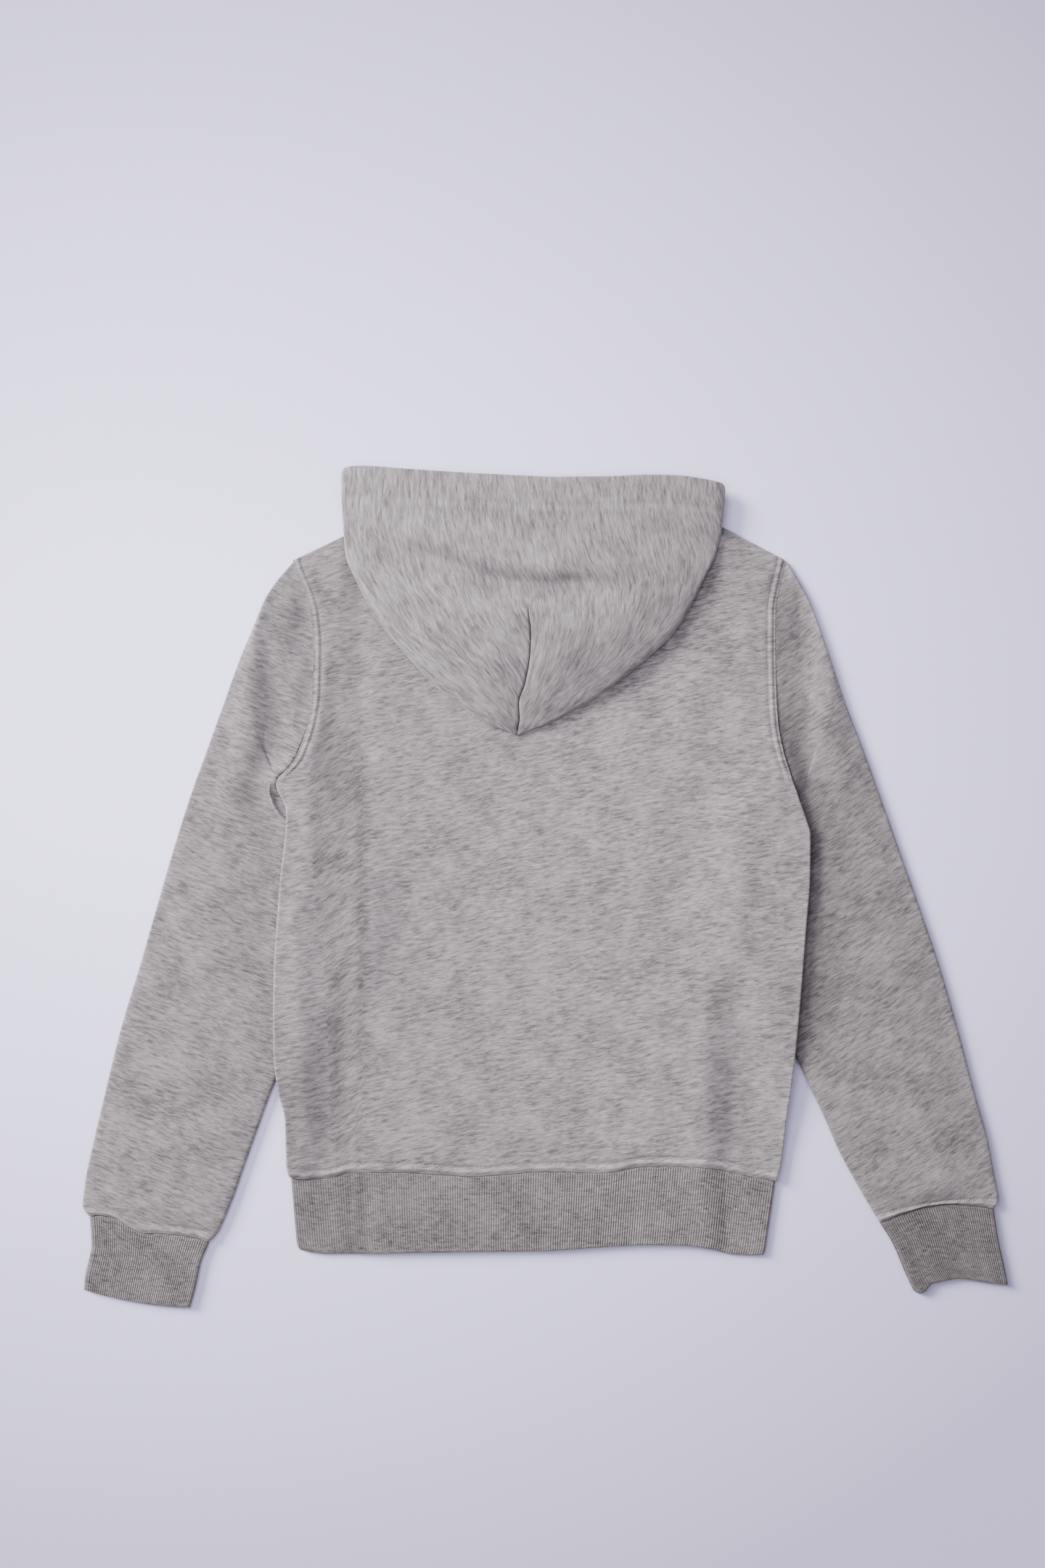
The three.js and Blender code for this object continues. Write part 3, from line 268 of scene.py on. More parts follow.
SLEEVE_RIGHT_CREASES = table(
    CREASE_COLUMNS,
    """
    214 262 222 120 8 9 -1.8         222 120 250 -40 -5 12 -1.8       240 200 262 60 -4 14 1.6
    236 30 306 0 -8 14 0.9           250 -60 330 -70 5 14 0.8         270 -130 352 -150 -6 16 0.8
    262 -200 372 -214 5 12 0.9       300 -268 350 -240 -4 9 1.1       330 -262 380 -240 3 8 1.0
    292 -276 300 -220 -3 8 0.9       300 60 322 -20 -5 12 -0.8        330 -180 356 -240 4 10 -0.9
    """,
)
HOOD_CREASES = table(
    CREASE_COLUMNS,
    """
    -130 250 -70 190 8 10 0.8        -60 236 -30 190 -6 9 0.8         30 236 2 196 6 9 0.8
    90 246 50 190 -6 10 0.7          22 178 2 164 3 7 -1.0            -52 190 -26 168 -3 6 -0.7
    -160 340 -156 280 3 8 0.5        138 330 130 270 -3 8 0.5         -100 330 40 322 -4 12 0.5
    """,
)

# Two long soft folds that turn away from the light: where each lies along y.
BACK_FOLD = table(
    "y left right",
    """
    256 -176 -160   170 -190 -158   80 -201 -157   -30 -194 -156   -100 -187 -157
    -200 -183 -158  -330 -178 -156
    """,
)
# The middle line of the dark painted fold shade on the left sleeve, along y.
SLEEVE_FOLD = table(
    "y middle", "255 -215  206 -227  175 -232  147 -237  116 -248  92 -255  40 -268"
)


# ---------------------------------------------------------------- small maths
def lerp(a, b, t):
    """The share t of the way from a to b, in a straight line."""
    return a + (b - a) * t


def smooth(a, b, x):
    """0 at a, 1 at b, and smooth between them."""
    t = np.clip((x - a) / (b - a), 0, 1)
    return t * t * (3 - 2 * t)


def fade(a, b, x):
    """1 at a, 0 at b, and smooth between them."""
    return 1 - smooth(a, b, x)


def bell(offset, width):
    """1 in the middle and e to the minus square of offset over width away from it."""
    return np.exp(-((offset / width) ** 2))


def curve(rows, key, column, at):
    """A column's value at places along the key: a cubic through the rows that never overshoots."""
    order = np.argsort(rows[key])
    k, v = rows[key][order], rows[column][order]
    step = np.diff(k)
    slope = np.diff(v) / step
    product = slope[:-1] * slope[1:]
    total = np.where(product > 0, slope[:-1] + slope[1:], 1)
    inner = np.where(product > 0, 2 * product / total, 0)
    tangent = np.concatenate([slope[:1], inner, slope[-1:]])
    at = np.clip(at, k[0], k[-1])
    i = np.clip(np.searchsorted(k, at, side="right") - 1, 0, len(k) - 2)
    t = (at - k[i]) / step[i]
    t2, t3 = t * t, t * t * t
    return (
        (2 * t3 - 3 * t2 + 1) * v[i]
        + (t3 - 2 * t2 + t) * step[i] * tangent[i]
        + (3 * t2 - 2 * t3) * v[i + 1]
        + (t3 - t2) * step[i] * tangent[i + 1]
    )


def rows_between(rows, places):
    """Every column of a table at fractional row numbers, each on its own smooth curve."""
    order = np.arange(len(next(iter(rows.values()))), dtype=float)
    numbered = dict(rows, order=order)
    return {name: curve(numbered, "order", name, places) for name in rows}


def creases(rows, x, y):
    """Sum of soft ridges and troughs: a bell across each crease's bowed line, fading at its ends."""
    total = np.zeros_like(x + y)
    for x0, y0, x1, y1, bow, width, height in zip(*rows.values()):
        length = np.hypot(x1 - x0, y1 - y0)
        ux, uy = (x1 - x0) / length, (y1 - y0) / length
        along = ((x - x0) * ux + (y - y0) * uy) / length
        across = (y - y0) * ux - (x - x0) * uy
        middle = bow * 4 * np.clip(along, 0, 1) * np.clip(1 - along, 0, 1)
        ends = smooth(-0.12, 0.3, along) * fade(0.7, 1.12, along)
        total = total + height * bell(across - middle, width) * ends
    return total


def ramp_places(total, fine, count):
    """Places from 0 to total: the fine list and its mirror image at the ends, even steps between."""
    inside = np.linspace(fine[-1], total - fine[-1], count)[1:-1]
    fine = np.asarray(fine, float)
    return np.concatenate([fine, inside, total - fine[::-1]])


def rounding(distance, thickness, lip=FREE_LIP):
    """Half thickness of a wall at a distance from its cut edge, a quarter circle down to a lip."""
    r = thickness / 2
    t = np.clip(distance / r, 0, 1)
    return r * np.maximum(np.sqrt(1 - (1 - t) ** 2), lip)


# ---------------------------------------------------------------- meshes
def added(name, data):
    """A new object at the origin for a mesh, a light or a camera, in the scene's collection."""
    thing = bpy.data.objects.new(name, data)
    bpy.context.scene.collection.objects.link(thing)
    return thing


def shaded_mesh(name, points, faces, material):
    """A smooth mesh of faces between points in millimetres."""
    mesh = bpy.data.meshes.new(name)
    mesh.from_pydata(points * MM, [], faces)
    mesh.polygons.foreach_set("use_smooth", np.ones(len(faces), bool))
    mesh.materials.append(material)
    return mesh


def make_piece(name, points, quads, grain, groove, material, turn=0):
    """A mesh object from points in millimetres, with its grain as a UV map and faces outwards.

    grain is where the point is on the cloth: along the fibres' streaks and across them. groove
    is painted shade in the colour: 0 on open cloth and 1 deep in a seam, and it also carries the
    painted shade of folds, hollows and shadows, and painted highlights where it is below 0. turn
    is how many steps the streaks' direction is turned from the grain's first axis. The signed
    volume says whether faces are turned.
    """
    a, b, c, d = (points[quads[:, i]] for i in range(4))
    volume = np.einsum("ij,ij->", a, np.cross(b, c)) + np.einsum("ij,ij->", a, np.cross(c, d))
    if volume < 0:
        quads = quads[:, ::-1]
    mesh = shaded_mesh(name, points, quads, material)
    corner = np.empty(len(mesh.loops), np.int32)
    mesh.loops.foreach_get("vertex_index", corner)
    uv = mesh.uv_layers.new(name="grain")
    uv.data.foreach_set("uv", (grain[corner] * MM).astype(np.float32).ravel())
    # groove carries painted shade, and painted highlights below 0, into the cloth's colour
    for label, values in (("groove", groove), ("turn", turn + 0 * groove)):
        shade = mesh.attributes.new(label, "FLOAT", "POINT")
        shade.data.foreach_set("value", values.astype(np.float32))
    mesh.update()
    return added(name, mesh)


def grid_quads(rows, columns, around, start=0):
    """Quads of a grid of points numbered row by row, closed round the columns where around."""
    r = np.arange(rows - 1)[:, None] * columns
    c = np.arange(columns if around else columns - 1)[None, :]
    n = (c + 1) % columns
    return start + np.stack([r + c, r + columns + c, r + columns + n, r + n], -1).reshape(-1, 4)


def closed_wall(name, outer, inner, grain, groove, material, around=False, turn=0):
    """A cloth wall between two grids of points, joined along every open edge: the outer grid's
    quads, the inner grid's turned round, and strips from edge to edge."""
    rows, columns, _ = outer.shape
    count = rows * columns
    top = grid_quads(rows, columns, around)
    under = grid_quads(rows, columns, around, count)[:, ::-1]
    strips = []
    wide = np.arange(columns + 1) % columns if around else np.arange(columns)
    for line, turned in ((wide, False), (wide + (rows - 1) * columns, True)):
        strips.append((line[:-1], line[1:], turned))
    if not around:
        down = np.arange(rows) * columns
        strips.append((down[:-1], down[1:], True))
        strips.append((down[:-1] + columns - 1, down[1:] + columns - 1, False))
    sides = []
    for near, far, turned in strips:
        quad = np.stack([near, far, far + count, near + count], -1)
        sides.append(quad[:, ::-1] if turned else quad)
    quads = np.concatenate([top, under, *sides])
    points = np.concatenate([outer.reshape(-1, 3), inner.reshape(-1, 3)])
    both = (grain, groove, turn + 0 * groove)
    grain, groove, turn = (np.concatenate([v.reshape(count, -1)] * 2) for v in both)
    return make_piece(name, points, quads, grain, groove[:, 0], material, turn[:, 0])


def turned_grain(x, y, degrees, seed):
    """Plan position turned so that the first number runs along streaks at that angle, and moved
    by a seed that keeps one piece's streaks apart from the next one's."""
    a = np.radians(degrees)
    along = x * np.cos(a) + y * np.sin(a)
    across = -x * np.sin(a) + y * np.cos(a)
    return np.stack([along + seed, across + seed * 0.7], -1)


# ---------------------------------------------------------------- materials
def node_group(name, inputs, outputs):
    """An empty shader node group with named sockets: (name, kind, default) and (name, kind)."""
    group = bpy.data.node_groups.new(name, "ShaderNodeTree")
    for label, kind, default in inputs:
        socket = group.interface.new_socket(label, in_out="INPUT", socket_type=kind)
        if default is not None:
            socket.default_value = default
    for label, kind in outputs:
        group.interface.new_socket(label, in_out="OUTPUT", socket_type=kind)
    return group, group.nodes.new("NodeGroupInput"), group.nodes.new("NodeGroupOutput")


def feed(tree, socket, value):
    """Link another node's socket to this one, or set this one's own number, vector or colour."""
    if isinstance(value, bpy.types.NodeSocket):
        tree.links.new(value, socket)
    else:
        socket.default_value = value


def calc(tree, kind, operation, values):
    """One Math or Vector Math node; each value is a number, a vector or another node's socket."""
    node = tree.nodes.new(kind)
    node.operation = operation
    for socket, value in zip(node.inputs, values):
        feed(tree, socket, value)
    return node.outputs[0]


def number(tree, operation, *values):
    """Arithmetic on numbers that vary over the surface."""
    return calc(tree, "ShaderNodeMath", operation, values)


def vector(tree, operation, *values):
    """The same on places or colours, component by component."""
    return calc(tree, "ShaderNodeVectorMath", operation, values)


def scaled(tree, value, factor):
    """A place or colour times a number that varies over the surface."""
    node = tree.nodes.new("ShaderNodeVectorMath")
    node.operation = "SCALE"
    tree.links.new(value, node.inputs[0])
    tree.links.new(factor, node.inputs["Scale"])
    return node.outputs[0]


def grain_map(tree):
    """The place on the cloth, from the piece's own UV map."""
    node = tree.nodes.new("ShaderNodeUVMap")
    node.uv_map = "grain"
    return node.outputs["UV"]


def noise(tree, place, scale, detail, roughness):
    """Smooth noise read at a place, with its softer copies at smaller sizes."""
    node = tree.nodes.new("ShaderNodeTexNoise")
    tree.links.new(place, node.inputs["Vector"])
    node.inputs["Scale"].default_value = scale
    node.inputs["Detail"].default_value = detail
    node.inputs["Roughness"].default_value = roughness
    return node


def map_range(tree, value, low, high, to_low=0.0, to_high=1.0, soft=False):
    """A value carried from one range to another and held at its ends, straight or smooth."""
    node = tree.nodes.new("ShaderNodeMapRange")
    node.interpolation_type = "SMOOTHSTEP" if soft else "LINEAR"
    tree.links.new(value, node.inputs["Value"])
    for label, v in (("From Min", low), ("From Max", high), ("To Min", to_low), ("To Max", to_high)):
        node.inputs[label].default_value = v
    return node.outputs["Result"]


def mix_colour(tree, factor, a, b):
    """Colour a where the factor is 0 and b where it is 1."""
    node = tree.nodes.new("ShaderNodeMix")
    node.data_type = "RGBA"
    for i, value in ((0, factor), (6, a), (7, b)):  # the colour kind's own sockets
        feed(tree, node.inputs[i], value)
    return node.outputs[2]


TURN_STEP = 15  # degrees between the directions that streaks are laid in
STEP_APART = 17.3  # between the places where two of those directions read their noise
STREAK_BEND = (0.008, 0.006, 0)  # how far slower noise moves them, along and across, in metres
KNIT = (1100, 1100, 1)  # loops of the knit to a metre, both ways
# painted shade: how much the groove attribute darkens the colour, deepest in a seam
PAINTED_SHADE_SCALE = -0.7  # change of tone deep in a seam


def streak_group():
    """Fibres' streaks in one direction: noise drawn out along it, bent by slower noise, round 0.

    Turn counts steps of direction. Each whole step reads the noise at a place of its own.
    """
    group, given, out = node_group(
        "streaks",
        [
            ("Grain", "NodeSocketVector", None),
            ("Turn", "NodeSocketFloat", 0.0),
            ("Length", "NodeSocketFloat", 0.01),
            ("Width", "NodeSocketFloat", 0.0016),
        ],
        [("Value", "NodeSocketFloat")],
    )
    turn = given.outputs["Turn"]
    rotate = group.nodes.new("ShaderNodeVectorRotate")
    rotate.rotation_type = "Z_AXIS"
    group.links.new(given.outputs["Grain"], rotate.inputs["Vector"])
    group.links.new(number(group, "MULTIPLY", turn, -np.radians(TURN_STEP)), rotate.inputs["Angle"])
    place = rotate.outputs[0]
    slow = noise(group, place, scale=34.0, detail=2.0, roughness=0.6).outputs["Color"]
    centred = vector(group, "SUBTRACT", slow, (0.5, 0.5, 0.5))
    bend = vector(group, "MULTIPLY", centred, STREAK_BEND)
    size = group.nodes.new("ShaderNodeCombineXYZ")
    group.links.new(given.outputs["Length"], size.inputs[0])
    group.links.new(given.outputs["Width"], size.inputs[1])
    size.inputs[2].default_value = 1.0
    apart = group.nodes.new("ShaderNodeCombineXYZ")
    group.links.new(number(group, "MULTIPLY", turn, STEP_APART), apart.inputs[2])
    place = vector(group, "DIVIDE", vector(group, "ADD", place, bend), size.outputs[0])
    place = vector(group, "ADD", place, apart.outputs[0])
    fine = noise(group, place, scale=1.0, detail=4.0, roughness=0.7).outputs["Fac"]
    wider = vector(group, "MULTIPLY_ADD", place, (0.5, 0.4, 1), (7, 3, 0))
    broad = noise(group, wider, scale=1.0, detail=2.0, roughness=0.5).outputs["Fac"]
    both = number(group, "MULTIPLY_ADD", broad, 0.6, fine)
    group.links.new(number(group, "SUBTRACT", both, 0.8), out.inputs["Value"])
    return group


def heather_group(streaks):
    """Marl of light and dark fibres: streaks laid in the two nearest whole directions and
    shared between them, with slow clouds and a fine knit grain. The Groove input paints shade
    into the colour, in seams, folds, hollows and shadows, and paints highlights where it is
    below 0."""
    group, given, out = node_group(
        "heather",
        [
            ("Grain", "NodeSocketVector", None),
            ("Turn", "NodeSocketFloat", 0.0),
            ("Light", "NodeSocketColor", (0.6, 0.57, 0.57, 1)),
            ("Dark", "NodeSocketColor", (0.3, 0.28, 0.28, 1)),
            ("Length", "NodeSocketFloat", 0.01),
            ("Width", "NodeSocketFloat", 0.0016),
            ("Contrast", "NodeSocketFloat", 2.0),
            ("Cloud", "NodeSocketFloat", 0.6),
            ("Groove", "NodeSocketFloat", 0.0),
        ],
        [("Color", "NodeSocketColor"), ("Height", "NodeSocketFloat")],
    )
    grain, turn = given.outputs["Grain"], given.outputs["Turn"]
    lower = number(group, "FLOOR", turn)
    share = map_range(group, number(group, "SUBTRACT", turn, lower), 0.15, 0.85, soft=True)
    laid = []
    for step in (lower, number(group, "ADD", lower, 1.0)):
        node = group.nodes.new("ShaderNodeGroup")
        node.node_tree = streaks
        for label in ("Grain", "Length", "Width"):
            group.links.new(given.outputs[label], node.inputs[label])
        group.links.new(step, node.inputs["Turn"])
        laid.append(node.outputs["Value"])
    rest = number(group, "SUBTRACT", 1.0, share)
    mixed = number(group, "MULTIPLY_ADD", laid[1], share, number(group, "MULTIPLY", laid[0], rest))
    power = number(group, "MULTIPLY_ADD", share, share, number(group, "MULTIPLY", rest, rest))
    streak = number(group, "DIVIDE", mixed, number(group, "SQRT", power))
    cloud = noise(group, grain, scale=30.0, detail=3.0, roughness=0.6).outputs["Fac"]
    cloud = number(group, "MULTIPLY", number(group, "SUBTRACT", cloud, 0.5), given.outputs["Cloud"])
    total = number(group, "MULTIPLY", number(group, "ADD", streak, cloud), given.outputs["Contrast"])
    darkness = map_range(group, total, -1.0, 1.0)
    colour = mix_colour(group, darkness, given.outputs["Light"], given.outputs["Dark"])
    loops = vector(group, "MULTIPLY", grain, KNIT)
    knit = noise(group, loops, scale=1.0, detail=2.0, roughness=0.6).outputs["Fac"]
    # painted shade from the Groove input, and painted highlight where it is below 0
    shade = number(group, "MULTIPLY_ADD", given.outputs["Groove"], PAINTED_SHADE_SCALE, 1.0)
    shade = number(group, "MULTIPLY", shade, map_range(group, knit, 0.25, 0.75, 1.07, 0.93))
    group.links.new(scaled(group, colour, shade), out.inputs["Color"])
    height = number(group, "MULTIPLY_ADD", knit, 0.5, number(group, "MULTIPLY", streak, -0.5))
    group.links.new(height, out.inputs["Height"])
    return group


def speckle_group():
    """Fine unevenness of hard or woven trim: two sizes of noise as a mask and a height."""
    group, given, out = node_group(
        "speckle",
        [("Place", "NodeSocketVector", None), ("Size", "NodeSocketFloat", 0.001)],
        [("Mask", "NodeSocketFloat"), ("Height", "NodeSocketFloat")],
    )
    per_speck = number(group, "DIVIDE", 1.0, given.outputs["Size"])
    place = scaled(group, given.outputs["Place"], per_speck)
    small = noise(group, place, scale=1.0, detail=3.0, roughness=0.6).outputs["Fac"]
    large = noise(group, place, scale=0.12, detail=2.0, roughness=0.5).outputs["Fac"]
    both = number(group, "MULTIPLY_ADD", large, 0.5, number(group, "MULTIPLY", small, 0.5))
    group.links.new(map_range(group, both, 0.35, 0.65), out.inputs["Mask"])
    group.links.new(small, out.inputs["Height"])
    return group


def new_material(name, roughness, metallic=0.0):
    """A node material with its Principled shader, whose even values are set on its own sockets."""
    material = bpy.data.materials.new(name)
    material.use_nodes = True
    shader = material.node_tree.nodes["Principled BSDF"]
    shader.inputs["Roughness"].default_value = roughness
    shader.inputs["Metallic"].default_value = metallic
    return material, material.node_tree, shader


def placed(tree, group, **values):
    """A node group placed in a material, with this material's own values on its inputs."""
    node = tree.nodes.new("ShaderNodeGroup")
    node.node_tree = group
    for label, value in values.items():
        node.inputs[label].default_value = value
    return node


def bumped(tree, shader, height, distance, strength):
    """Tilt the shader's normal by a height that varies over the surface."""
    bump = tree.nodes.new("ShaderNodeBump")
    bump.inputs["Strength"].default_value = strength
    bump.inputs["Distance"].default_value = distance
    tree.links.new(height, bump.inputs["Height"])
    tree.links.new(bump.outputs["Normal"], shader.inputs["Normal"])


def cloth_material(name, group, sheen, bump, **values):
    """Matt knitted cloth: heather colours along the piece's grain, darkened by the painted shade
    and lightened by the painted highlights of the groove attribute, a soft nap and a fine bump.
    """
    material, tree, shader = new_material(name, 0.96)
    shader.inputs["Sheen Weight"].default_value = sheen
    shader.inputs["Sheen Roughness"].default_value = 0.5
    shader.inputs["Specular IOR Level"].default_value = 0.15
    marl = placed(tree, group, **values)
    tree.links.new(grain_map(tree), marl.inputs["Grain"])
    for label in ("turn", "groove"):
        attribute = tree.nodes.new("ShaderNodeAttribute")
        attribute.attribute_name = label
        tree.links.new(attribute.outputs["Fac"], marl.inputs[label.title()])
    tree.links.new(marl.outputs["Color"], shader.inputs["Base Color"])
    bumped(tree, shader, marl.outputs["Height"], bump, 0.5)
    return material


def trim_material(name, group, light, dark, size, roughness, metallic=0.0, bump=0.0001):
    """Zip tape, teeth, metal and thread: two close colours by a fine mask, read in Object space."""
    material, tree, shader = new_material(name, roughness, metallic)
    place = tree.nodes.new("ShaderNodeTexCoord")
    speckle = placed(tree, group, Size=size)
    tree.links.new(place.outputs["Object"], speckle.inputs["Place"])
    colour = mix_colour(tree, speckle.outputs["Mask"], light, dark)
    tree.links.new(colour, shader.inputs["Base Color"])
    bumped(tree, shader, speckle.outputs["Height"], bump, 0.6)
    return material


def tape_material(name, group, light, dark, pitch):
    """Herringbone tape: a sine along the tape, shifted across it by a zigzag 1.5 mm wide, so its
    slanting ribs turn back on themselves."""
    material, tree, shader = new_material(name, 0.88)
    shader.inputs["Specular IOR Level"].default_value = 0.2
    grain = grain_map(tree)
    split = tree.nodes.new("ShaderNodeSeparateXYZ")
    tree.links.new(grain, split.inputs[0])
    slant = number(tree, "PINGPONG", split.outputs[0], 0.0015)
    along = number(tree, "ADD", split.outputs[1], slant)
    phase = number(tree, "MULTIPLY", along, 2 * np.pi / pitch)
    rib = map_range(tree, number(tree, "SINE", phase), -1.0, 1.0)
    speck = placed(tree, group, Size=0.0005)
    tree.links.new(grain, speck.inputs["Place"])
    specks = number(tree, "MULTIPLY", speck.outputs["Mask"], 0.3)
    share = number(tree, "MULTIPLY_ADD", rib, 0.7, specks)
    tree.links.new(mix_colour(tree, share, dark, light), shader.inputs["Base Color"])
    bumped(tree, shader, share, 0.00025, 0.6)
    return material


heather = heather_group(streak_group())
speckle = speckle_group()
fleece = cloth_material(
    "fleece", heather, sheen=0.22, bump=0.0007,
    Light=(0.232, 0.2085, 0.2115, 1), Dark=(0.0725, 0.0625, 0.0655, 1),
    Length=0.007, Width=0.00108, Contrast=5.2, Cloud=0.42,
)
hood_fleece = cloth_material(
    "hood_fleece", heather, sheen=0.22, bump=0.0006,
    Light=(0.233, 0.2125, 0.215, 1), Dark=(0.0725, 0.0635, 0.0665, 1),
    Length=0.0095, Width=0.00105, Contrast=4.6, Cloud=0.4,
)
rib_knit = cloth_material(
    "rib_knit", heather, sheen=0.08, bump=0.0004,
    Light=(0.2, 0.1815, 0.1805, 1), Dark=(0.049, 0.0415, 0.043, 1),
    Length=0.0045, Width=0.0009, Contrast=3.8, Cloud=0.5,
)
thread = trim_material(
    "thread", speckle, (0.27, 0.251, 0.252, 1), (0.185, 0.171, 0.172, 1),
    size=0.0006, roughness=0.8,
)
tape_weave = tape_material(
    "tape_weave", speckle, (0.285, 0.275, 0.275, 1), (0.185, 0.175, 0.175, 1), pitch=0.0009
)
tooth_plastic = trim_material(
    "tooth_plastic", speckle, (0.3, 0.3, 0.31, 1), (0.235, 0.235, 0.242, 1),
    size=0.002, roughness=0.4,
)
slider_metal = trim_material(
    "slider_metal", speckle, (0.5, 0.5, 0.51, 1), (0.38, 0.38, 0.39, 1),
    size=0.003, roughness=0.32, metallic=1.0, bump=0.00004,
)


# ---------------------------------------------------------------- the body's form
def hem_seam(x):
    """Height up the layout of the seam above the hem rib."""
    return curve(HEM_LINES, "x", "seam", x)


def hem_foot(x):
    """Height up the layout of the hem rib's foot."""
    return curve(HEM_LINES, "x", "foot", x)


def body_edge(side, y):
    """Where the body's side edge or armhole is at a height up the layout."""
    return curve(SIDES, "y", SIDE_NAMES[side], y)


def from_sides(x, y):
    """Distance across from the nearer side edge or armhole."""
    return np.minimum(x - body_edge(-1, y), body_edge(1, y) - x)


def from_hem(x, y):
    """Distance up from the edge that is sewn to the hem rib."""
    return y - hem_seam(x) - SEAM_LINE


def by_armhole(y):
    """1 up beside the armholes, 0 below them, and smooth between."""
    return smooth(84, 104, y)


def lift(x, y):
    """Height of the body's lowest surface: 0, and raised where it lies over a sleeve."""
    left_edge = curve(TUCK, "y", "left", y) + LIFT_MARGIN
    right_edge = curve(TUCK, "y", "right", y) - LIFT_MARGIN
    left = fade(left_edge, left_edge + LIFT_RAMP, x) * fade(112, 160, y)
    fold = lerp(1, 0.32, smooth(112, 160, y)) * fade(235, 280, y)
    right = smooth(right_edge - LIFT_RAMP, right_edge, x) * fold
    return LIFT * np.maximum(left, right)


def air(x, y):
    """Air between the fronts and the back: a raised middle with a soft fold down each side."""
    left_side = smooth(-164, -140, x)
    right_fold = smooth(134, 162, x) * fade(-90, -30, y)
    right_side = fade(150, 196, x)
    return PLATEAU * left_side * (1 - right_fold) * right_side


def shoulder_y(x):
    """The shoulder line: straight from the neck to the tip at the top of the armhole."""
    tip = np.where(x < 0, SIDES["left"][0], SIDES["right"][0])
    share = (np.abs(x) - NECK_HALF) / (np.abs(tip) - NECK_HALF)
    return lerp(NECK_Y, SIDE_TOP, share)


def back_top_y(x):
    """The back's top edge: the shoulders, and half an ellipse down between them."""
    in_neck = np.sqrt(np.clip(1 - (x / NECK_HALF) ** 2, 0, 1))
    return np.where(np.abs(x) >= NECK_HALF, shoulder_y(x), NECK_Y - BACK_NECK_DROP * in_neck)


def front_top_y(x):
    """A front's top edge: the shoulder, and a quarter of an ellipse down to the zip."""
    share = (np.abs(x) - ZIP_EDGE) / (NECK_HALF - ZIP_EDGE)
    in_neck = np.sqrt(np.clip(1 - share**2, 0, 1))
    return np.where(np.abs(x) >= NECK_HALF, shoulder_y(x), NECK_Y - FRONT_NECK_DROP * in_neck)


# Distances from an edge of the fine columns and rows beside it.
FINE_SIDE = [0, 0.2, 0.6, 1.1, 1.7, 2.3, 3, 3.8, 4.6, 5.5, 6.4, 7.2, 8.2, 10, 12.5, 15.5, 19, 23]
FINE_END = [0, 0.2, 0.6, 1.1, 1.7, 2.3, 3, 3.9, 4.9, 6, 7, 7.8, 8.6, 10, 12.5, 15.5]
FINE_RIB = [0, 0.25, 0.7, 1.3, 2.2]
TWIN_ROWS = (1.6, 6.6)  # stitch rows beside an armhole, from its seam
TWIN_PUFF = 4.1  # the puffed cloth between them
COVER_ROW = 7.6  # stitch row above the hem and cuff seams
HEM_PUFF, CUFF_PUFF = 3.9, 3.8  # the puffed cloth between those seams and the row
RIGHT_FOLD = 172  # the long trough by the back's right side
EDGE_LIFT = 1.2  # the right side's fold stands up over the sleeve
SIDE_DROP = 0.6  # how far a folded or sewn edge comes down, or up from beneath
SIDE_ROLL = 2.4  # how far in from the edge that begins


def panel_places(shares, offsets, count, top_y, inner_left=None, inner_right=None):
    """Plan places of a body panel: rows fan between its top edge and the hem seam, and columns
    follow both side edges. Each row's ends are on the side edges, found in a few steps."""
    s = shares[:, None]
    y = lerp(float(SIDE_TOP), float(SIDE_FOOT), s)
    even = np.linspace(0, 1, count)[None, 1:-1]
    offsets = np.asarray(offsets)[None, :]
    for _ in range(5):
        left = body_edge(-1, y[:, :1]) if inner_left is None else np.full_like(s, inner_left)
        right = body_edge(1, y[:, -1:]) if inner_right is None else np.full_like(s, inner_right)
        reach = offsets[:, -1:]
        middle = lerp(left + reach, right - reach, even)
        x = np.concatenate([left + offsets, middle, right - offsets[:, ::-1]], 1)
        y = lerp(top_y(x), hem_seam(x) + SEAM_LINE, s)
    return x, y


def edge_roll(distance, radius):
    """0 away from an edge and 1 at it, along a quarter circle."""
    t = np.clip(distance / radius, 0, 1)
    return 1 - np.sqrt(1 - (1 - t) ** 2)


def settled(form, room):
    """Creases that never press a layer into the one beneath it: no lower than the air there."""
    return np.maximum(form, 0.1 - SEAM_GAP - room)


def back_middle(x, y):
    """Middle of the back's cloth: over the fronts and the air, with creases, rolled side edges,
    puffed cloth between the armholes' stitch rows and a ridge along the hem seam."""
    near_shoulder = smooth(-14, 0, y - shoulder_y(x)) * (np.abs(x) > NECK_HALF - 1)
    z = lift(x, y) + CLOTH + SEAM_GAP + air(x, y) * (1 - near_shoulder) + CLOTH / 2
    side, foot, armhole = from_sides(x, y), from_hem(x, y), by_armhole(y)
    loose = LOOSE * smooth(2, 26, side) * smooth(0, 24, foot) * (1 - near_shoulder)
    z = z + settled(creases(BACK_CREASES, x, y) * smooth(4, 26, side) + loose, air(x, y))
    puff = 1.0 * bell(side - TWIN_PUFF, 1.8) - sum(0.5 * bell(side - row, 0.6) for row in TWIN_ROWS)
    z = z + armhole * (puff + 0.5 * bell(side - 10.5, 3))
    z = z + 1.5 * bell(foot - HEM_PUFF, 2.3) - 0.5 * bell(foot - COVER_ROW, 0.7)
    z = z + 0.6 * bell(foot - 11, 3)
    by_right_side = fade(0, 20, body_edge(1, y) - x)
    edge_lift = EDGE_LIFT * by_right_side * fade(140, 200, y)
    z = z + edge_lift - SIDE_DROP * lerp(1, 0.25, armhole) * edge_roll(side, SIDE_ROLL)
    return z - 0.2 * edge_roll(foot, 2)


def back_surface(x, y):
    """Top of the back's cloth."""
    return back_middle(x, y) + CLOTH / 2


def back_fold(x, y):
    """1 inside the long fold by the back's left side, 0 outside it, with soft borders."""
    left, right = (curve(BACK_FOLD, "y", name, y) for name in ("left", "right"))
    return smooth(-4, 5, x - left) * fade(-3, 3, x - right)


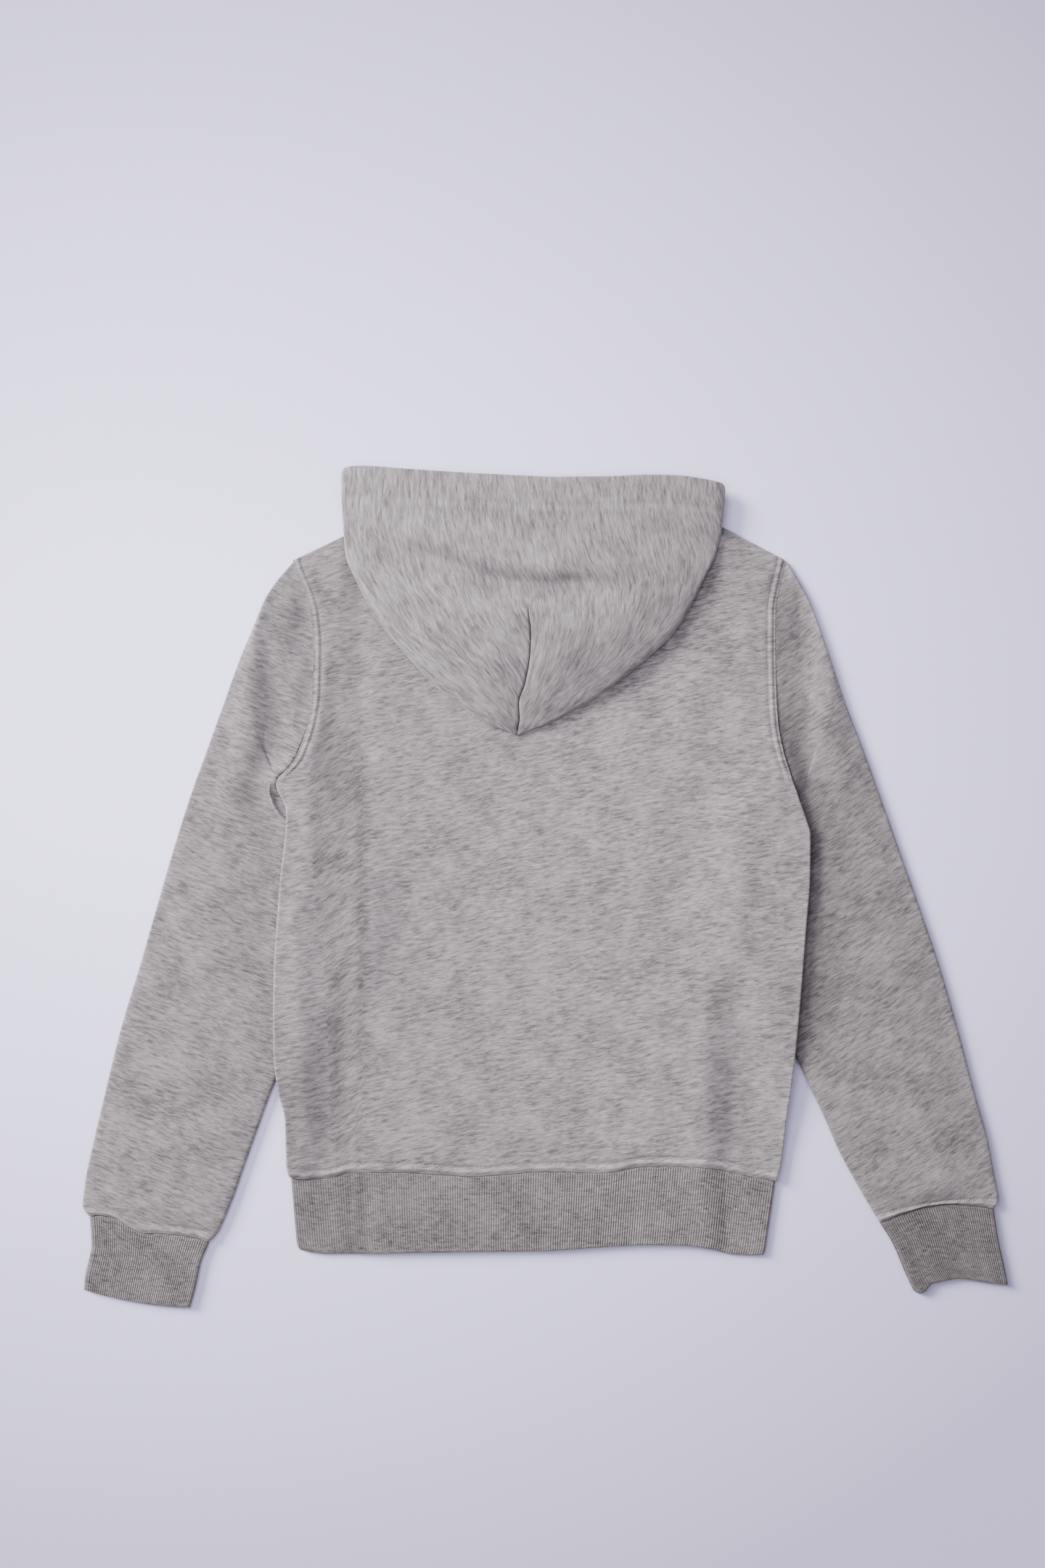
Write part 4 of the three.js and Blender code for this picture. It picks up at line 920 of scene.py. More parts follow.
def back_painted_shade(x, y):
    """Painted light and shade on the back: painted shade in the long fold by the left side that
    turns away from the light and at the far left, a painted highlight along the fold's right
    border, painted shade in the right fold and towards the bottom, painted shadows by the hood,
    and a lighter middle.
    """
    border = x - curve(BACK_FOLD, "y", "right", y)
    left = 0.33 * back_fold(x, y) - 0.07 * bell(border - 6, 4)
    left = left + 0.16 * fade(-192, -170, x) * fade(-170, -70, y)
    tip_x, tip_y = -20, 130  # where the hood's tip points down
    right = 0.1 * bell(x - RIGHT_FOLD, 18) * fade(-80, 10, y)
    right = right + 0.06 * fade(-150, -40, y) * (1 + bell(x - RIGHT_FOLD, 40))
    # painted shadows of the hood on the back, beside its lower left and right edges and below its
    # tip
    along_left, along_right = (y - tip_y) + (x + 24), (y - tip_y) - (x - tip_x) * 0.78
    by_left = bell(along_left - 6, 26) * smooth(-190, -150, x) * fade(-60, -10, x)
    by_right = bell(along_right - 2, 30) * smooth(-40, 20, x) * fade(150, 190, x)
    by_tip = bell(x - tip_x, 40) * bell(y - 118, 24)
    return left + right + 0.2 * by_left + 0.2 * by_right + 0.06 * by_tip - 0.09 * bell(x - 40, 120)


def body_turn(x, y):
    """Steps that the body's streaks are turned: steep inside the left fold, flatter by the right."""
    return (22 * back_fold(x, y) * fade(110, 180, y) - 6 * smooth(100, 150, x)) / TURN_STEP


def back_panel():
    """The back: a wall over and under the middle surface, its half thickness rounded down at
    free edges and left nearly whole at sewn ones."""
    length, columns, rows = 560, 128, 168
    shares = ramp_places(length, FINE_END, rows) / length
    x, y = panel_places(shares, FINE_SIDE, columns, back_top_y)
    side, foot, armhole = from_sides(x, y), from_hem(x, y), by_armhole(y)
    edge = np.minimum(np.minimum(side, foot), back_top_y(x) - y)
    lip = lerp(FREE_LIP, SEWN_LIP, np.where(foot < side, 1, armhole))
    middle, half = back_middle(x, y), rounding(edge, CLOTH, lip)
    # groove: painted shade in the hem seam and along the armholes' stitch rows, lighter cloth on the
    # puffed bands beside them, a painted highlight along the folded side edges below the armholes,
    # and the back's painted shade
    groove = 0.15 * bell(foot, 0.5) - 0.26 * bell(foot - HEM_PUFF, 2.6)
    groove = groove - 0.12 * armhole * bell(side - TWIN_PUFF, 2)
    groove = groove - 0.35 * (1 - armhole) * bell(side, 1.6) + back_painted_shade(x, y)
    for row in TWIN_ROWS:
        groove = groove + 0.22 * bell(side - row, 0.55) * armhole
    grain = turned_grain(x, y, 11, 0)
    top, under = (np.stack([x, y, middle + turn * half], -1) for turn in (1, -1))
    return closed_wall("back_cloth", top, under, grain, groove, fleece, turn=body_turn(x, y))


def front_panel(side):
    """One front, against the surface: flat beneath, with its edges rolled up and a stitch row
    beside the zip edge."""
    length, columns, rows = 530, 64, 110
    shares = ramp_places(length, FINE_END, rows) / length
    ends = {"inner_right": -ZIP_EDGE} if side < 0 else {"inner_left": ZIP_EDGE}
    x, y = panel_places(shares, FINE_SIDE, columns, front_top_y, **ends)
    outer_edge = np.abs(x - body_edge(side, y))
    zip_edge = np.abs(x) - ZIP_EDGE
    foot = from_hem(x, y)
    edge = np.minimum(np.minimum(outer_edge, zip_edge), np.minimum(foot, front_top_y(x) - y))
    middle = lift(x, y) + CLOTH / 2
    middle = middle + SIDE_DROP * edge_roll(outer_edge, SIDE_ROLL) + 0.5 * edge_roll(foot, 2)
    pressed = 0.4 * (bell(zip_edge - ZIP_STITCH, 0.7) + bell(foot - COVER_ROW, 0.7))
    half = rounding(edge, CLOTH)
    top = np.stack([x, y, middle + half], -1)
    under = np.stack([x, y, middle - half + pressed], -1)
    name, grain = f"front_{SIDE_NAMES[side]}_cloth", turned_grain(x, y, 3 * side, 900)
    # groove: painted shade in the hem seam
    return closed_wall(name, top, under, grain, 0.7 * bell(foot, 0.7), fleece)


# ---------------------------------------------------------------- flattened tubes
def tube_columns(top_count, under_count, fold_count=5):
    """Round a flattened tube: share across, turn of the edge fold and which part of the ring.

    Parts: 0 the fold at the first edge, 1 the top, 2 the fold at the other edge, 3 beneath.
    The angle is from straight out sideways, so 90 degrees is on top.
    """
    up = np.radians(np.linspace(0, 90, fold_count))
    down = np.radians(np.linspace(90, -90, 2 * fold_count - 1))
    back = np.radians(np.linspace(-90, 0, fold_count))[:-1]
    top = np.linspace(0, 1, top_count + 2)[1:-1]
    under = np.linspace(1, 0, under_count + 2)[1:-1]
    share = [0 * up, top, 1 + 0 * down, under, 0 * back]
    angle = [up, 0 * top, down, 0 * under, back]
    part = np.repeat([0.0, 1, 2, 3, 0], [len(run) for run in share])
    return np.concatenate(share), np.concatenate(angle), part


def ring_surface(columns, width, top_height, inset):
    """(share across, height) of a flattened tube's wall, inset from its outside.

    The edge folds are half circles of the tube's own height; between them the top follows
    top_height(share) and the under side is flat. Width and height may differ row by row.
    """
    share, angle, part = (v[None, :] for v in columns)
    end = top_height(np.zeros_like(width))
    r = end / 2 - inset
    from_edge = np.where(part % 2 == 0, inset + r * (1 - np.cos(angle)), inset + r)
    inner = lerp(from_edge / width, 1 - from_edge / width, share)
    t = np.where(part == 0, from_edge / width, np.where(part == 2, 1 - from_edge / width, inner))
    fold_height = inset + r * (1 + np.sin(angle))
    flat_height = np.where(part == 1, top_height(t) - inset, inset)
    return t, np.where(part % 2 == 0, fold_height, flat_height)


def row_numbers(rows, spacing, fine):
    """Fractional row numbers at even steps down a table of sections, fine at both ends, and
    each one's distance down the piece."""
    middle_x = lerp(rows["out_x"], rows["in_x"], 0.4)
    middle_y = lerp(rows["out_y"], rows["in_y"], 0.4)
    step = np.hypot(np.diff(middle_x), np.diff(middle_y))
    reached = np.concatenate([[0], np.cumsum(step)])
    count = int(reached[-1] / spacing)
    down = ramp_places(reached[-1], fine, count)
    return np.interp(down, reached, np.arange(len(reached))), down, reached[-1]


def sleeve_painted_shade(side, x, y, from_fold):
    """Painted light and shade on a sleeve. The right one is darker, more so below, with a painted
    shadow in the hollow beside the body, a painted highlight right at its outer fold and painted
    shade a little in from it; the left one is a little darker below and has a dark painted fold
    from the armhole down, lighter beside it."""
    below = fade(120, 200, y)
    if side < 0:
        fold = x - curve(SLEEVE_FOLD, "y", "middle", y)
        shown = smooth(40, 110, y) * fade(235, 262, y)
        dark = 0.42 * bell(fold, 9) - 0.14 * bell(fold - 17, 6) - 0.08 * bell(fold + 24, 9)
        return 0.08 * below + shown * dark
    outside = x - body_edge(side, y)
    reach = 10 + 8 * fade(0, 160, y)
    hollow_painted_shadow = smooth(-175, -110, y) * fade(250, 272, y)
    hollow_painted_shadow = hollow_painted_shadow * fade(reach, 2.6 * reach, outside)
    rim = 0.13 * bell(from_fold - 3, 4)
    rim = rim - 0.1 * bell(from_fold - 24, 10) * fade(-60, 40, y)
    return 0.12 + 0.23 * below + 0.32 * hollow_painted_shadow - rim


def sleeve(side):
    """One sleeve: a flattened tube from the armhole to the cuff seam, with creases where it
    shows, and standing as high as the body's cloth along the armhole."""
    rows = SLEEVE_LEFT if side < 0 else SLEEVE_RIGHT
    own_creases = SLEEVE_LEFT_CREASES if side < 0 else SLEEVE_RIGHT_CREASES
    numbers, down, length = row_numbers(rows, spacing=2.7, fine=FINE_END)
    at = {name: v[:, None] for name, v in rows_between(rows, np.maximum(numbers, 1)).items()}
    free = {name: v[:, None] for name, v in rows_between(rows, numbers).items()}
    first = {name: v[0] for name, v in rows.items()}
    join = np.clip(numbers, 0, 1)[:, None]
    cuff_share = np.clip((numbers - (len(rows["rise"]) - 3)) / 2, 0, 1)[:, None]
    from_cuff = (length - down)[:, None]
    from_armhole = down[:, None]
    width = np.hypot(at["out_x"] - at["in_x"], at["out_y"] - at["in_y"])

    def top_height(t):
        """The flat height, and over it half a sine wave from the outer fold up to its reach."""
        stand = np.sin(np.pi * np.clip(t / free["reach"], 0, 1)) ** 0.75
        return SLEEVE_FLAT + free["rise"] * stand * smooth(0, 22, from_cuff)

    def plan(t):
        """Each section's straight line with its bow; the first one lies along the armhole."""
        x = lerp(at["out_x"], at["in_x"], t) + at["bow"] * 4 * t * (1 - t)
        y = lerp(at["out_y"], at["in_y"], t)
        y = y + cuff_share * curve(CUFF_WAVE, "across", SIDE_NAMES[side], t)
        y0 = lerp(first["out_y"], first["in_y"], t)
        x0 = body_edge(side, np.maximum(y0, ARMHOLE_TURN)) + side * SEAM_LINE
        return lerp(x0, x, join), lerp(y0, y, join)

    columns = tube_columns(top_count=72, under_count=30)
    walls = []
    for inset in (0, CLOTH):
        t, z = ring_surface(columns, width, top_height, inset)
        x, y = plan(t)
        shown = np.clip((z - SLEEVE_FLAT / 2) / (SLEEVE_FLAT / 2), 0, 1)
        inside = smooth(0, 0.06, t) * fade(0.94, 1, t)
        form = creases(own_creases, x, y) * inside
        form = form * smooth(3, 18, from_armhole) * smooth(2, 12, from_cuff)
        seams = 1.6 * bell(from_cuff - CUFF_PUFF, 2.3) - 0.5 * bell(from_cuff - COVER_ROW, 0.7)
        seams = seams - 0.25 * edge_roll(from_cuff, 2.2) - 0.2 * edge_roll(from_armhole, 3)
        seams = seams + 0.5 * bell(from_armhole - 7, 3)
        z = z + shown * (form + seams)
        outside = side * (x - body_edge(side, y))
        meet = lift(x - side * outside, y) + 2 * CLOTH + SEAM_GAP - 0.5 - inset
        near = smooth(-1.6, 0.8, outside) * bell(np.maximum(outside, 0), 11) * smooth(78, 96, y)
        z = z + shown * near * (meet - z)
        walls.append(np.stack([x, y, np.broadcast_to(z, x.shape)], -1))
    outer, inner = walls
    x, y = outer[..., 0], outer[..., 1]
    # groove: painted shade in the cuff seam, lighter cloth on the puffed band above it, and the
    # sleeve's painted light and shade
    groove = 0.3 * bell(from_cuff, 0.5) - 0.28 * bell(from_cuff - CUFF_PUFF, 2.6)
    groove = groove + sleeve_painted_shade(side, x, y, t * width)
    grain = turned_grain(x, y, -20 if side < 0 else 32, 300 + 200 * side)
    name = f"sleeve_{SIDE_NAMES[side]}_cloth"
    piece = closed_wall(name, outer, inner, grain, groove, fleece, around=True)
    near_row = outer[np.argmin(np.abs(from_cuff[:, 0] - COVER_ROW))]
    return piece, near_row[columns[2] == 1] + np.array([0, 0, 0.12])


# The path of the pinched fold at the left underarm.
PLEAT = table(
    "x y",
    "-227.4 100.4 -231.8 97.3 -235 91.5 -236.2 83.5 -234.4 74.5 -230.2 66.3 -225.4 60.6 -221 57.8",
)
PLEAT_HALF, PLEAT_HEIGHT = 1.7, 2.6
PLEAT_BASE = SLEEVE_FLAT + 0.9


def underarm_pleat():
    """A pinched fold of the left sleeve's cloth at the underarm: a low rounded ridge carried
    along a curved path, half an ellipse across, and down to nothing at both ends."""
    places, around = 60, 20
    x, y = rows_between(PLEAT, np.linspace(0, len(PLEAT["x"]) - 1, places)).values()
    ahead = np.gradient(np.stack([x, y], -1), axis=0)
    ahead /= np.linalg.norm(ahead, axis=1, keepdims=True)
    swell = np.sqrt(np.clip(np.sin(np.pi * np.linspace(0, 1, places)), 0.03, 1))[:, None]
    turn = np.linspace(0, 2 * np.pi, around + 1)[None, :-1]
    out = PLEAT_HALF * swell * np.cos(turn)
    rise = np.where(np.sin(turn) > 0, PLEAT_HEIGHT, 0.5) * swell * np.sin(turn)
    plan = x[:, None] - out * ahead[:, 1:], y[:, None] + out * ahead[:, :1]
    ring = np.stack([*plan, PLEAT_BASE + rise], -1)
    inner = lerp(ring, ring.mean(1, keepdims=True), 0.45)
    grain = turned_grain(*plan, -8, 0)
    groove = -0.05 + 0 * out
    return closed_wall("sleeve_left_pleat", ring, inner, grain, groove, fleece, around=True)


def rib_height(distance):
    """Rib knit across its ribs: 0 on a rib's rounded crest, down to minus the groove's depth."""
    crest = np.sqrt(np.abs(np.sin(np.pi * distance / RIB_PITCH)))
    return -RIB_DEPTH * (1 - crest)


def rib_painted_shade(around, down):
    """Painted shade between the ribs and in the seam at the top of the rib knit: how deep a
    point lies there.
    """
    deep = (-rib_height(around) / RIB_DEPTH) ** 1.3
    return np.maximum(*np.broadcast_arrays(deep, 0.4 * bell(down, 0.8)))


CUFF_HEIGHT = 5.8
CUFF_WALL = 2.1


def cuff(side):
    """One cuff: a flattened tube of rib knit, its wall rounded over at the foot."""
    rows, column = (CUFF_LEFT if side < 0 else CUFF_RIGHT), SIDE_NAMES[side]
    numbers, down, length = row_numbers(rows, spacing=3.2, fine=FINE_RIB)
    at = {name: v[:, None] for name, v in rows_between(rows, numbers).items()}
    width = np.hypot(at["out_x"] - at["in_x"], at["out_y"] - at["in_y"])
    nominal = width[0, 0]
    ribs_across, to_a_rib = int(round(nominal / RIB_PITCH)), 6
    columns = tube_columns(ribs_across * to_a_rib, ribs_across * to_a_rib, fold_count=9)
    around = columns[0] * nominal + columns[1] * CUFF_HEIGHT / 2
    from_end = np.minimum(down, length - down)[:, None]
    foot_share = smooth(0.62, 1, down / length)[:, None]
    walls = []
    for inset in (0, CUFF_WALL):
        t, z = ring_surface(columns, width, lambda t: CUFF_HEIGHT + 0 * t, inset)
        x = lerp(at["out_x"], at["in_x"], t)
        y = lerp(at["out_y"], at["in_y"], t) + at["sag"] * 4 * t * (1 - t)
        y = y + at["wave"] * curve(CUFF_WAVE, "across", column, t)
        y = y + foot_share * curve(CUFF_FOOT, "across", column, t)
        above = np.clip(z / CUFF_HEIGHT * 2 - 1, -1, 1)  # 1 on top, -1 beneath
        layer = CUFF_HEIGHT / 2 + above * (CUFF_HEIGHT - CUFF_WALL) / 2
        ribs = rib_height(around)[None, :] * (inset == 0) * np.sign(above)
        ribs = ribs * smooth(0, 0.3, np.abs(above))
        z = lerp(z + ribs, layer, 0.85 * edge_roll(from_end, 1.5))
        walls.append(np.stack([x, y, np.broadcast_to(z, x.shape)], -1))
    # groove: painted shade between the ribs and in the seam, more painted shade on the right cuff
    # and a little lighter on the left
    groove = rib_painted_shade(around, down[:, None]) + (0.4 if side > 0 else -0.05)
    grain = np.stack(np.broadcast_arrays(around + 500 * side, down[:, None]), -1)
    return closed_wall(f"cuff_{column}_rib", *walls, grain, groove, rib_knit, around=True)


# ---------------------------------------------------------------- the hem rib
def hem_rib():
    """The ribbed band: from the left zip edge beneath, round both sides and over the back.

    Its places are counted round the band from the left zip edge: a run beneath, half a circle
    up round the fold, the run over the back, the other fold and the run beneath to the right.
    """
    base = CLOTH + SEAM_GAP
    r = (base + RIB_CLOTH) / 2
    length = 64
    down = ramp_places(length, FINE_RIB, 16)
    share = (down / length)[:, None]
    at = {name: np.interp(share, HEM_SIDES["down"], HEM_SIDES[name]) for name in ("left", "right")}
    left_in, right_in = at["left"] + r, at["right"] - r
    width = at["right"][0, 0] - at["left"][0, 0]
    top_run = width - 2 * r
    left_run = -at["left"][0, 0] - ZIP_EDGE - r
    right_run = at["right"][0, 0] - ZIP_EDGE - r
    turn = np.pi * r
    total = left_run + turn + top_run + turn + right_run
    around = np.linspace(0, total, int(round(total / RIB_PITCH)) * 5 + 1)[None, :]
    _, left_start, top_start, right_start, end_start = np.cumsum([0, left_run, turn, top_run, turn])
    on_left = 1 - np.clip(around / left_run, 0, 1)
    left_fold = np.clip((around - left_start) / turn, 0, 1) * np.pi
    on_top = np.clip((around - top_start) / top_run, 0, 1)
    right_fold = np.clip((around - right_start) / turn, 0, 1) * np.pi
    on_right = np.clip((around - end_start) / right_run, 0, 1)
    turned = (1 - np.cos(left_fold)) / 2 - (1 - np.cos(right_fold)) / 2  # 1 on the back
    facing = turned * 2 - 1
    roll = 0.85 * edge_roll(np.minimum(down, length - down)[:, None], 1.6)
    away = smooth(0, 20, around - top_start) * smooth(0, 20, right_start - around)
    ribs = rib_height(around) * np.sign(facing) * smooth(0, 0.3, np.abs(facing))
    walls = []
    for inset in (0, 1):
        bend = r - inset * (r - 0.2)
        x = np.where(around < left_start, lerp(left_in, -ZIP_EDGE, on_left), left_in)
        x = np.where(around < top_start, x - bend * np.sin(left_fold), x)
        x = np.where(around >= top_start, lerp(left_in, right_in, on_top), x)
        x = np.where(around > right_start, right_in + bend * np.sin(right_fold), x)
        x = np.where(around > end_start, lerp(right_in, ZIP_EDGE, on_right), x)
        low, high = (0, base + RIB_CLOTH) if inset == 0 else (CLOTH, base)
        room = 0.9 * air(x, hem_seam(x))
        form = room + settled(creases(BACK_CREASES, x, hem_seam(x) - down[:, None]), room)
        form = form * away
        z = lerp(low, high, turned) + form + ribs * (1 - inset)
        layer = lerp(CLOTH / 2, base + RIB_CLOTH / 2, turned) + form
        z = lerp(z, layer, roll)
        y = lerp(hem_seam(x) - SEAM_LINE, hem_foot(x), share)
        walls.append(np.stack([x, y, np.broadcast_to(z, x.shape)], -1))
    on_back = (turned > 0.5) * 0.8
    # groove: painted shade between the ribs and in the seam, lighter towards the right, and the
    # back's painted shade where the band lies on the back
    groove = rib_painted_shade(around, down[:, None]) - 0.1 * smooth(-60, 120, x)
    groove = groove + back_painted_shade(x, -300 + 0 * x) * on_back
    grain = np.stack(np.broadcast_arrays(around, down[:, None]), -1)
    return closed_wall("hem_band_rib", *walls, grain, groove, rib_knit)


# ---------------------------------------------------------------- the hood
def hood_top(x, y, row):
    """Top of the hood over its side folds: a flat dome, less the sag across it, the crown
    seam's groove and the pinched cloth beside it, plus the doubled rim hem and creases."""
    centre, half = (row["left"] + row["right"]) / 2, (row["right"] - row["left"]) / 2
    inside = np.clip(1 - np.abs(x - centre) / half, 0, 1)
    dome = 1 - (1 - inside) ** 2.6
    below_trough = y - curve(HOOD_TROUGH, "x", "y", x)
    middle_share = smooth(0.04, 0.35, inside)
    depth = curve(HOOD_TROUGH, "x", "depth", x)
    sag = 6.0 * bell(below_trough, np.where(below_trough > 0, 8, 20)) * depth
    sag = sag - 1.3 * bell(below_trough - 15, 9) * depth * middle_share
    pinch = fade(CROWN_TOP - 22, CROWN_TOP, y)
    across = x - row["seam"]
    groove = pinch * (0.9 * bell(across, 1.3) + 1.1 * bell(across, 12) + 1.7 * bell(across, 0.4))
    below_hem = HOOD_RIM - y - HOOD_HEM
    hem = 0.9 * fade(-1.2, 1.2, below_hem) - 0.5 * bell(below_hem + 1.2, 0.8)
    hem = hem + 0.7 * bell(below_hem - 5, 4) * middle_share
    soft = creases(HOOD_CREASES, x, y) * smooth(0.02, 0.2, inside)
    return HOOD_SIDE + (row["crest"] - HOOD_SIDE) * dome - sag - groove + hem + soft


def hood_turn_steps(x, y, row):
    """Steps that the hood's streaks are turned at each point, from the table of directions:
    on each side from the crown line to half way, and from there to the fold."""
    at = {name: curve(HOOD_TURNS, "y", name, y) for name in HOOD_TURNS if name != "y"}
    out = {}
    for word in SIDE_NAMES.values():
        halves = np.clip((x - row["seam"]) / (row[word] - row["seam"]), 0, 1) * 2
        inner = lerp(at[word + "_seam"], at[word + "_half"], np.minimum(halves, 1))
        out[word] = lerp(inner, at[word], np.maximum(halves - 1, 0))
    wide = lerp(0.3, 26, smooth(CROWN_TOP - 4, CROWN_TOP + 14, y))
    return lerp(out["left"], out["right"], smooth(-1, 1, (x - row["seam"]) / wide)) / TURN_STEP


def hood_columns(count, under_count, fold_count=6):
    """Round the hood: a share from the crown line, where it is 0 and the columns are crowded, to
    a side fold at 1 or minus 1, the turn of that fold and which part of the ring it is.

    Parts: 0 the top, 1 the right fold, 2 beneath, 3 the left fold.
    """
    shares = (np.arange(count + 1) / count) ** 1.7
    top = np.concatenate([-shares[:0:-1], shares])
    down = np.radians(np.linspace(90, -90, 2 * fold_count - 1))[1:-1]
    under = np.linspace(1, -1, under_count)
    share = np.concatenate([top, np.ones(len(down)), under, -np.ones(len(down))])
    angle = np.concatenate([np.zeros(len(top)), down, np.zeros(under_count), -down])
    part = np.repeat([0.0, 1.0, 2.0, 3.0], [len(top), len(down), under_count, len(down)])
    return share, angle, part


def hood():
    """The hood: a pouch open at the rim, its lower layer cut along the back neckline.

    Rows run from the rim down to the tip, where every layer draws in to the middle. Round each
    row are the top from fold to fold, half a circle at each fold and the lower layer.
    """
    total = HOOD_RIM - HOOD_TIP
    down = ramp_places(total, [0, 0.3, 0.8, 1.5, 2.4, 3.5], 118)
    nominal = (HOOD_RIM - down)[:, None]
    share, angle, part = (v[None, :] for v in hood_columns(count=46, under_count=44))
    corner_size = 7  # the rim's corners are rounded in plan
    from_corner = np.clip(1 - down / corner_size, 0, 1)[:, None]
    corner = corner_size * (1 - np.sqrt(1 - from_corner**2))
    row = {name: curve(HOOD, "y", name, nominal) for name in ("left", "right", "seam", "crest")}
    closing = np.sqrt(np.clip((nominal - HOOD_TIP) / 8, 0.0004, 1))
    row["left"] = row["seam"] + (row["left"] - row["seam"]) * closing + corner * 0.5
    row["right"] = row["seam"] + (row["right"] - row["seam"]) * closing - corner * 0.5
    row["crest"] = lerp(HOOD_SIDE, row["crest"], closing)
    at_top = smooth(262, 334, nominal)
    at_rim = lerp(HOOD["left"][0], HOOD["right"][0], (share + 1) / 2)
    neck = back_top_y(np.clip(at_rim, -NECK_HALF, NECK_HALF)) + SEAM_LINE
    past_neck = smooth(96, 104, np.abs(at_rim))
    end = lerp(neck, curve(RIM_LINE, "x", "y", at_rim) - 0.4, past_neck)
    flat_y = lerp(end, HOOD_TIP, down[:, None] / total)
    walls = []
    for inset in (0, CLOTH):
        low, side = HOOD_BASE + inset, HOOD_SIDE - inset
        r = (side - low) / 2 * closing
        centre = (low + side) / 2
        left_in, right_in = row["left"] + inset + r, row["right"] - inset - r
        ahead = np.where(share < 0, left_in, right_in)
        x = lerp(row["seam"], ahead, np.abs(share))
        x = np.where(part == 1, right_in + r * np.cos(angle), x)
        x = np.where(part == 3, left_in - r * np.cos(angle), x)
        x = np.where(part == 2, lerp(left_in, right_in, (share + 1) / 2), x)
        waved = nominal + (curve(RIM_LINE, "x", "y", x) - HOOD_RIM) * at_top
        y = np.where(part == 2, flat_y, waved)
        top = hood_top(x, nominal, row) - inset
        wall_end = 0.9 * edge_roll(down[:, None], 1.6) * (1 if inset == 0 else -1)
        z = np.where(part == 0, lerp(centre, top, closing) - wall_end, centre + r * np.sin(angle))
        z = np.where(part == 2, lerp(centre, low, closing), z)
        from_seam = np.abs(x - row["seam"])
        to_side = from_seam / np.maximum(from_seam.max(1, keepdims=True), 1)
        floating = HOOD_FLOAT * smooth(0.55, 1, to_side) * smooth(150, 185, nominal)
        z = z + floating * fade(265, 305, nominal)
        walls.append(np.stack([x, y, z], -1))
    outer = walls[0]
    # Painted light and shade in the groove attribute: painted shade in the crown seam's pinch, in
    # the band of the rim's hem and along the sag, lighter a little below the sag, darker to the
    # lower right and lighter to the upper left, lighter over the whole hood, and a painted highlight
    # along the side folds.
    pinch = fade(CROWN_TOP - 7, CROWN_TOP, nominal)
    hem_band = 0.05 * fade(HOOD_HEM - 1, HOOD_HEM + 1, HOOD_RIM - nominal)
    trough = nominal - curve(HOOD_TROUGH, "x", "y", x)
    dip = 0.15 * curve(HOOD_TROUGH, "x", "depth", x) * bell(trough + 5, 7)
    dip = dip - 0.05 * bell(trough + 22, 14)
    away = (x + 14) / 150 - (nominal - 265) / 110
    painted_light_and_shade = 0.02 + 0.14 * np.clip(away, -0.8, 1.3) + 0.16 * smooth(0.4, 0.95, away)
    crown_painted_shade = 0.9 * pinch * bell(x - row["seam"], 0.35)
    groove = np.where(part == 0, crown_painted_shade + hem_band + dip, 0) - 0.1
    fold = np.minimum(outer[..., 0] - row["left"], row["right"] - outer[..., 0])
    groove = groove + painted_light_and_shade - 0.07 * bell(fold, 7)
    turn = hood_turn_steps(outer[..., 0], nominal, row)
    under = np.where(part > 1, 4000, 0)  # the lower layer's streaks are read elsewhere
    grain = outer[..., :2] + under[..., None]
    near_row = outer[np.argmin(np.abs(down - HOOD_HEM - 1))]
    stitches_at = near_row[part[0] == 0][4:-4] + np.array([0, 0, 0.1])
    return closed_wall("hood_cloth", *walls, grain, groove, hood_fleece, True, turn), stitches_at


def hood_wing(side):
    """The hood's front part on one side, from the front neckline up to its free rim: straight
    lines between the neckline and a curve drawn by three points, both carried on past the neck."""
    u = np.linspace(0, 1, 60)[None, :]
    v = ramp_places(40, [0, 0.3, 0.8, 1.5], 16)[:, None] / 40
    start, rim, shoulder = ZIP_EDGE + 0.6, WING_RIM[side] - 4, NECK_Y + 1.4
    neck_share, beyond = 0.75, 38  # share of the columns up to the neck's end, and the rest's run
    at_neck = np.minimum(u / neck_share, 1)
    past_neck = np.clip((u - neck_share) / (1 - neck_share), 0, 1)
    x_low = start + (NECK_HALF - start) * at_neck + beyond * past_neck
    low = front_top_y(np.minimum(x_low, NECK_HALF)) + 0.9
    low = np.where(x_low > NECK_HALF, lerp(shoulder, rim - 3, (x_low - NECK_HALF) / beyond), low)
    first, second, third = (1 - at_neck) ** 2, 2 * at_neck * (1 - at_neck), at_neck**2
    foot_y, bend_x, bend_y = 265, 62, 316
    top_x = first * start + second * bend_x + third * (NECK_HALF + 1) + (beyond - 1) * past_neck
    top_y = first * foot_y + second * bend_y + third * rim
    x, y = lerp(x_low, top_x, v), lerp(low, top_y, v)
    half = rounding(np.minimum(v, 1 - v) * 30 + 0 * x, CLOTH)
    top, under = (np.stack([side * x, y, CLOTH / 2 + turn * half], -1) for turn in (1, -1))
    grain = turned_grain(side * x, y, 90 - 30 * side, 1500)
    return closed_wall(f"hood_wing_{SIDE_NAMES[side]}", top, under, grain, 0 * x, fleece)


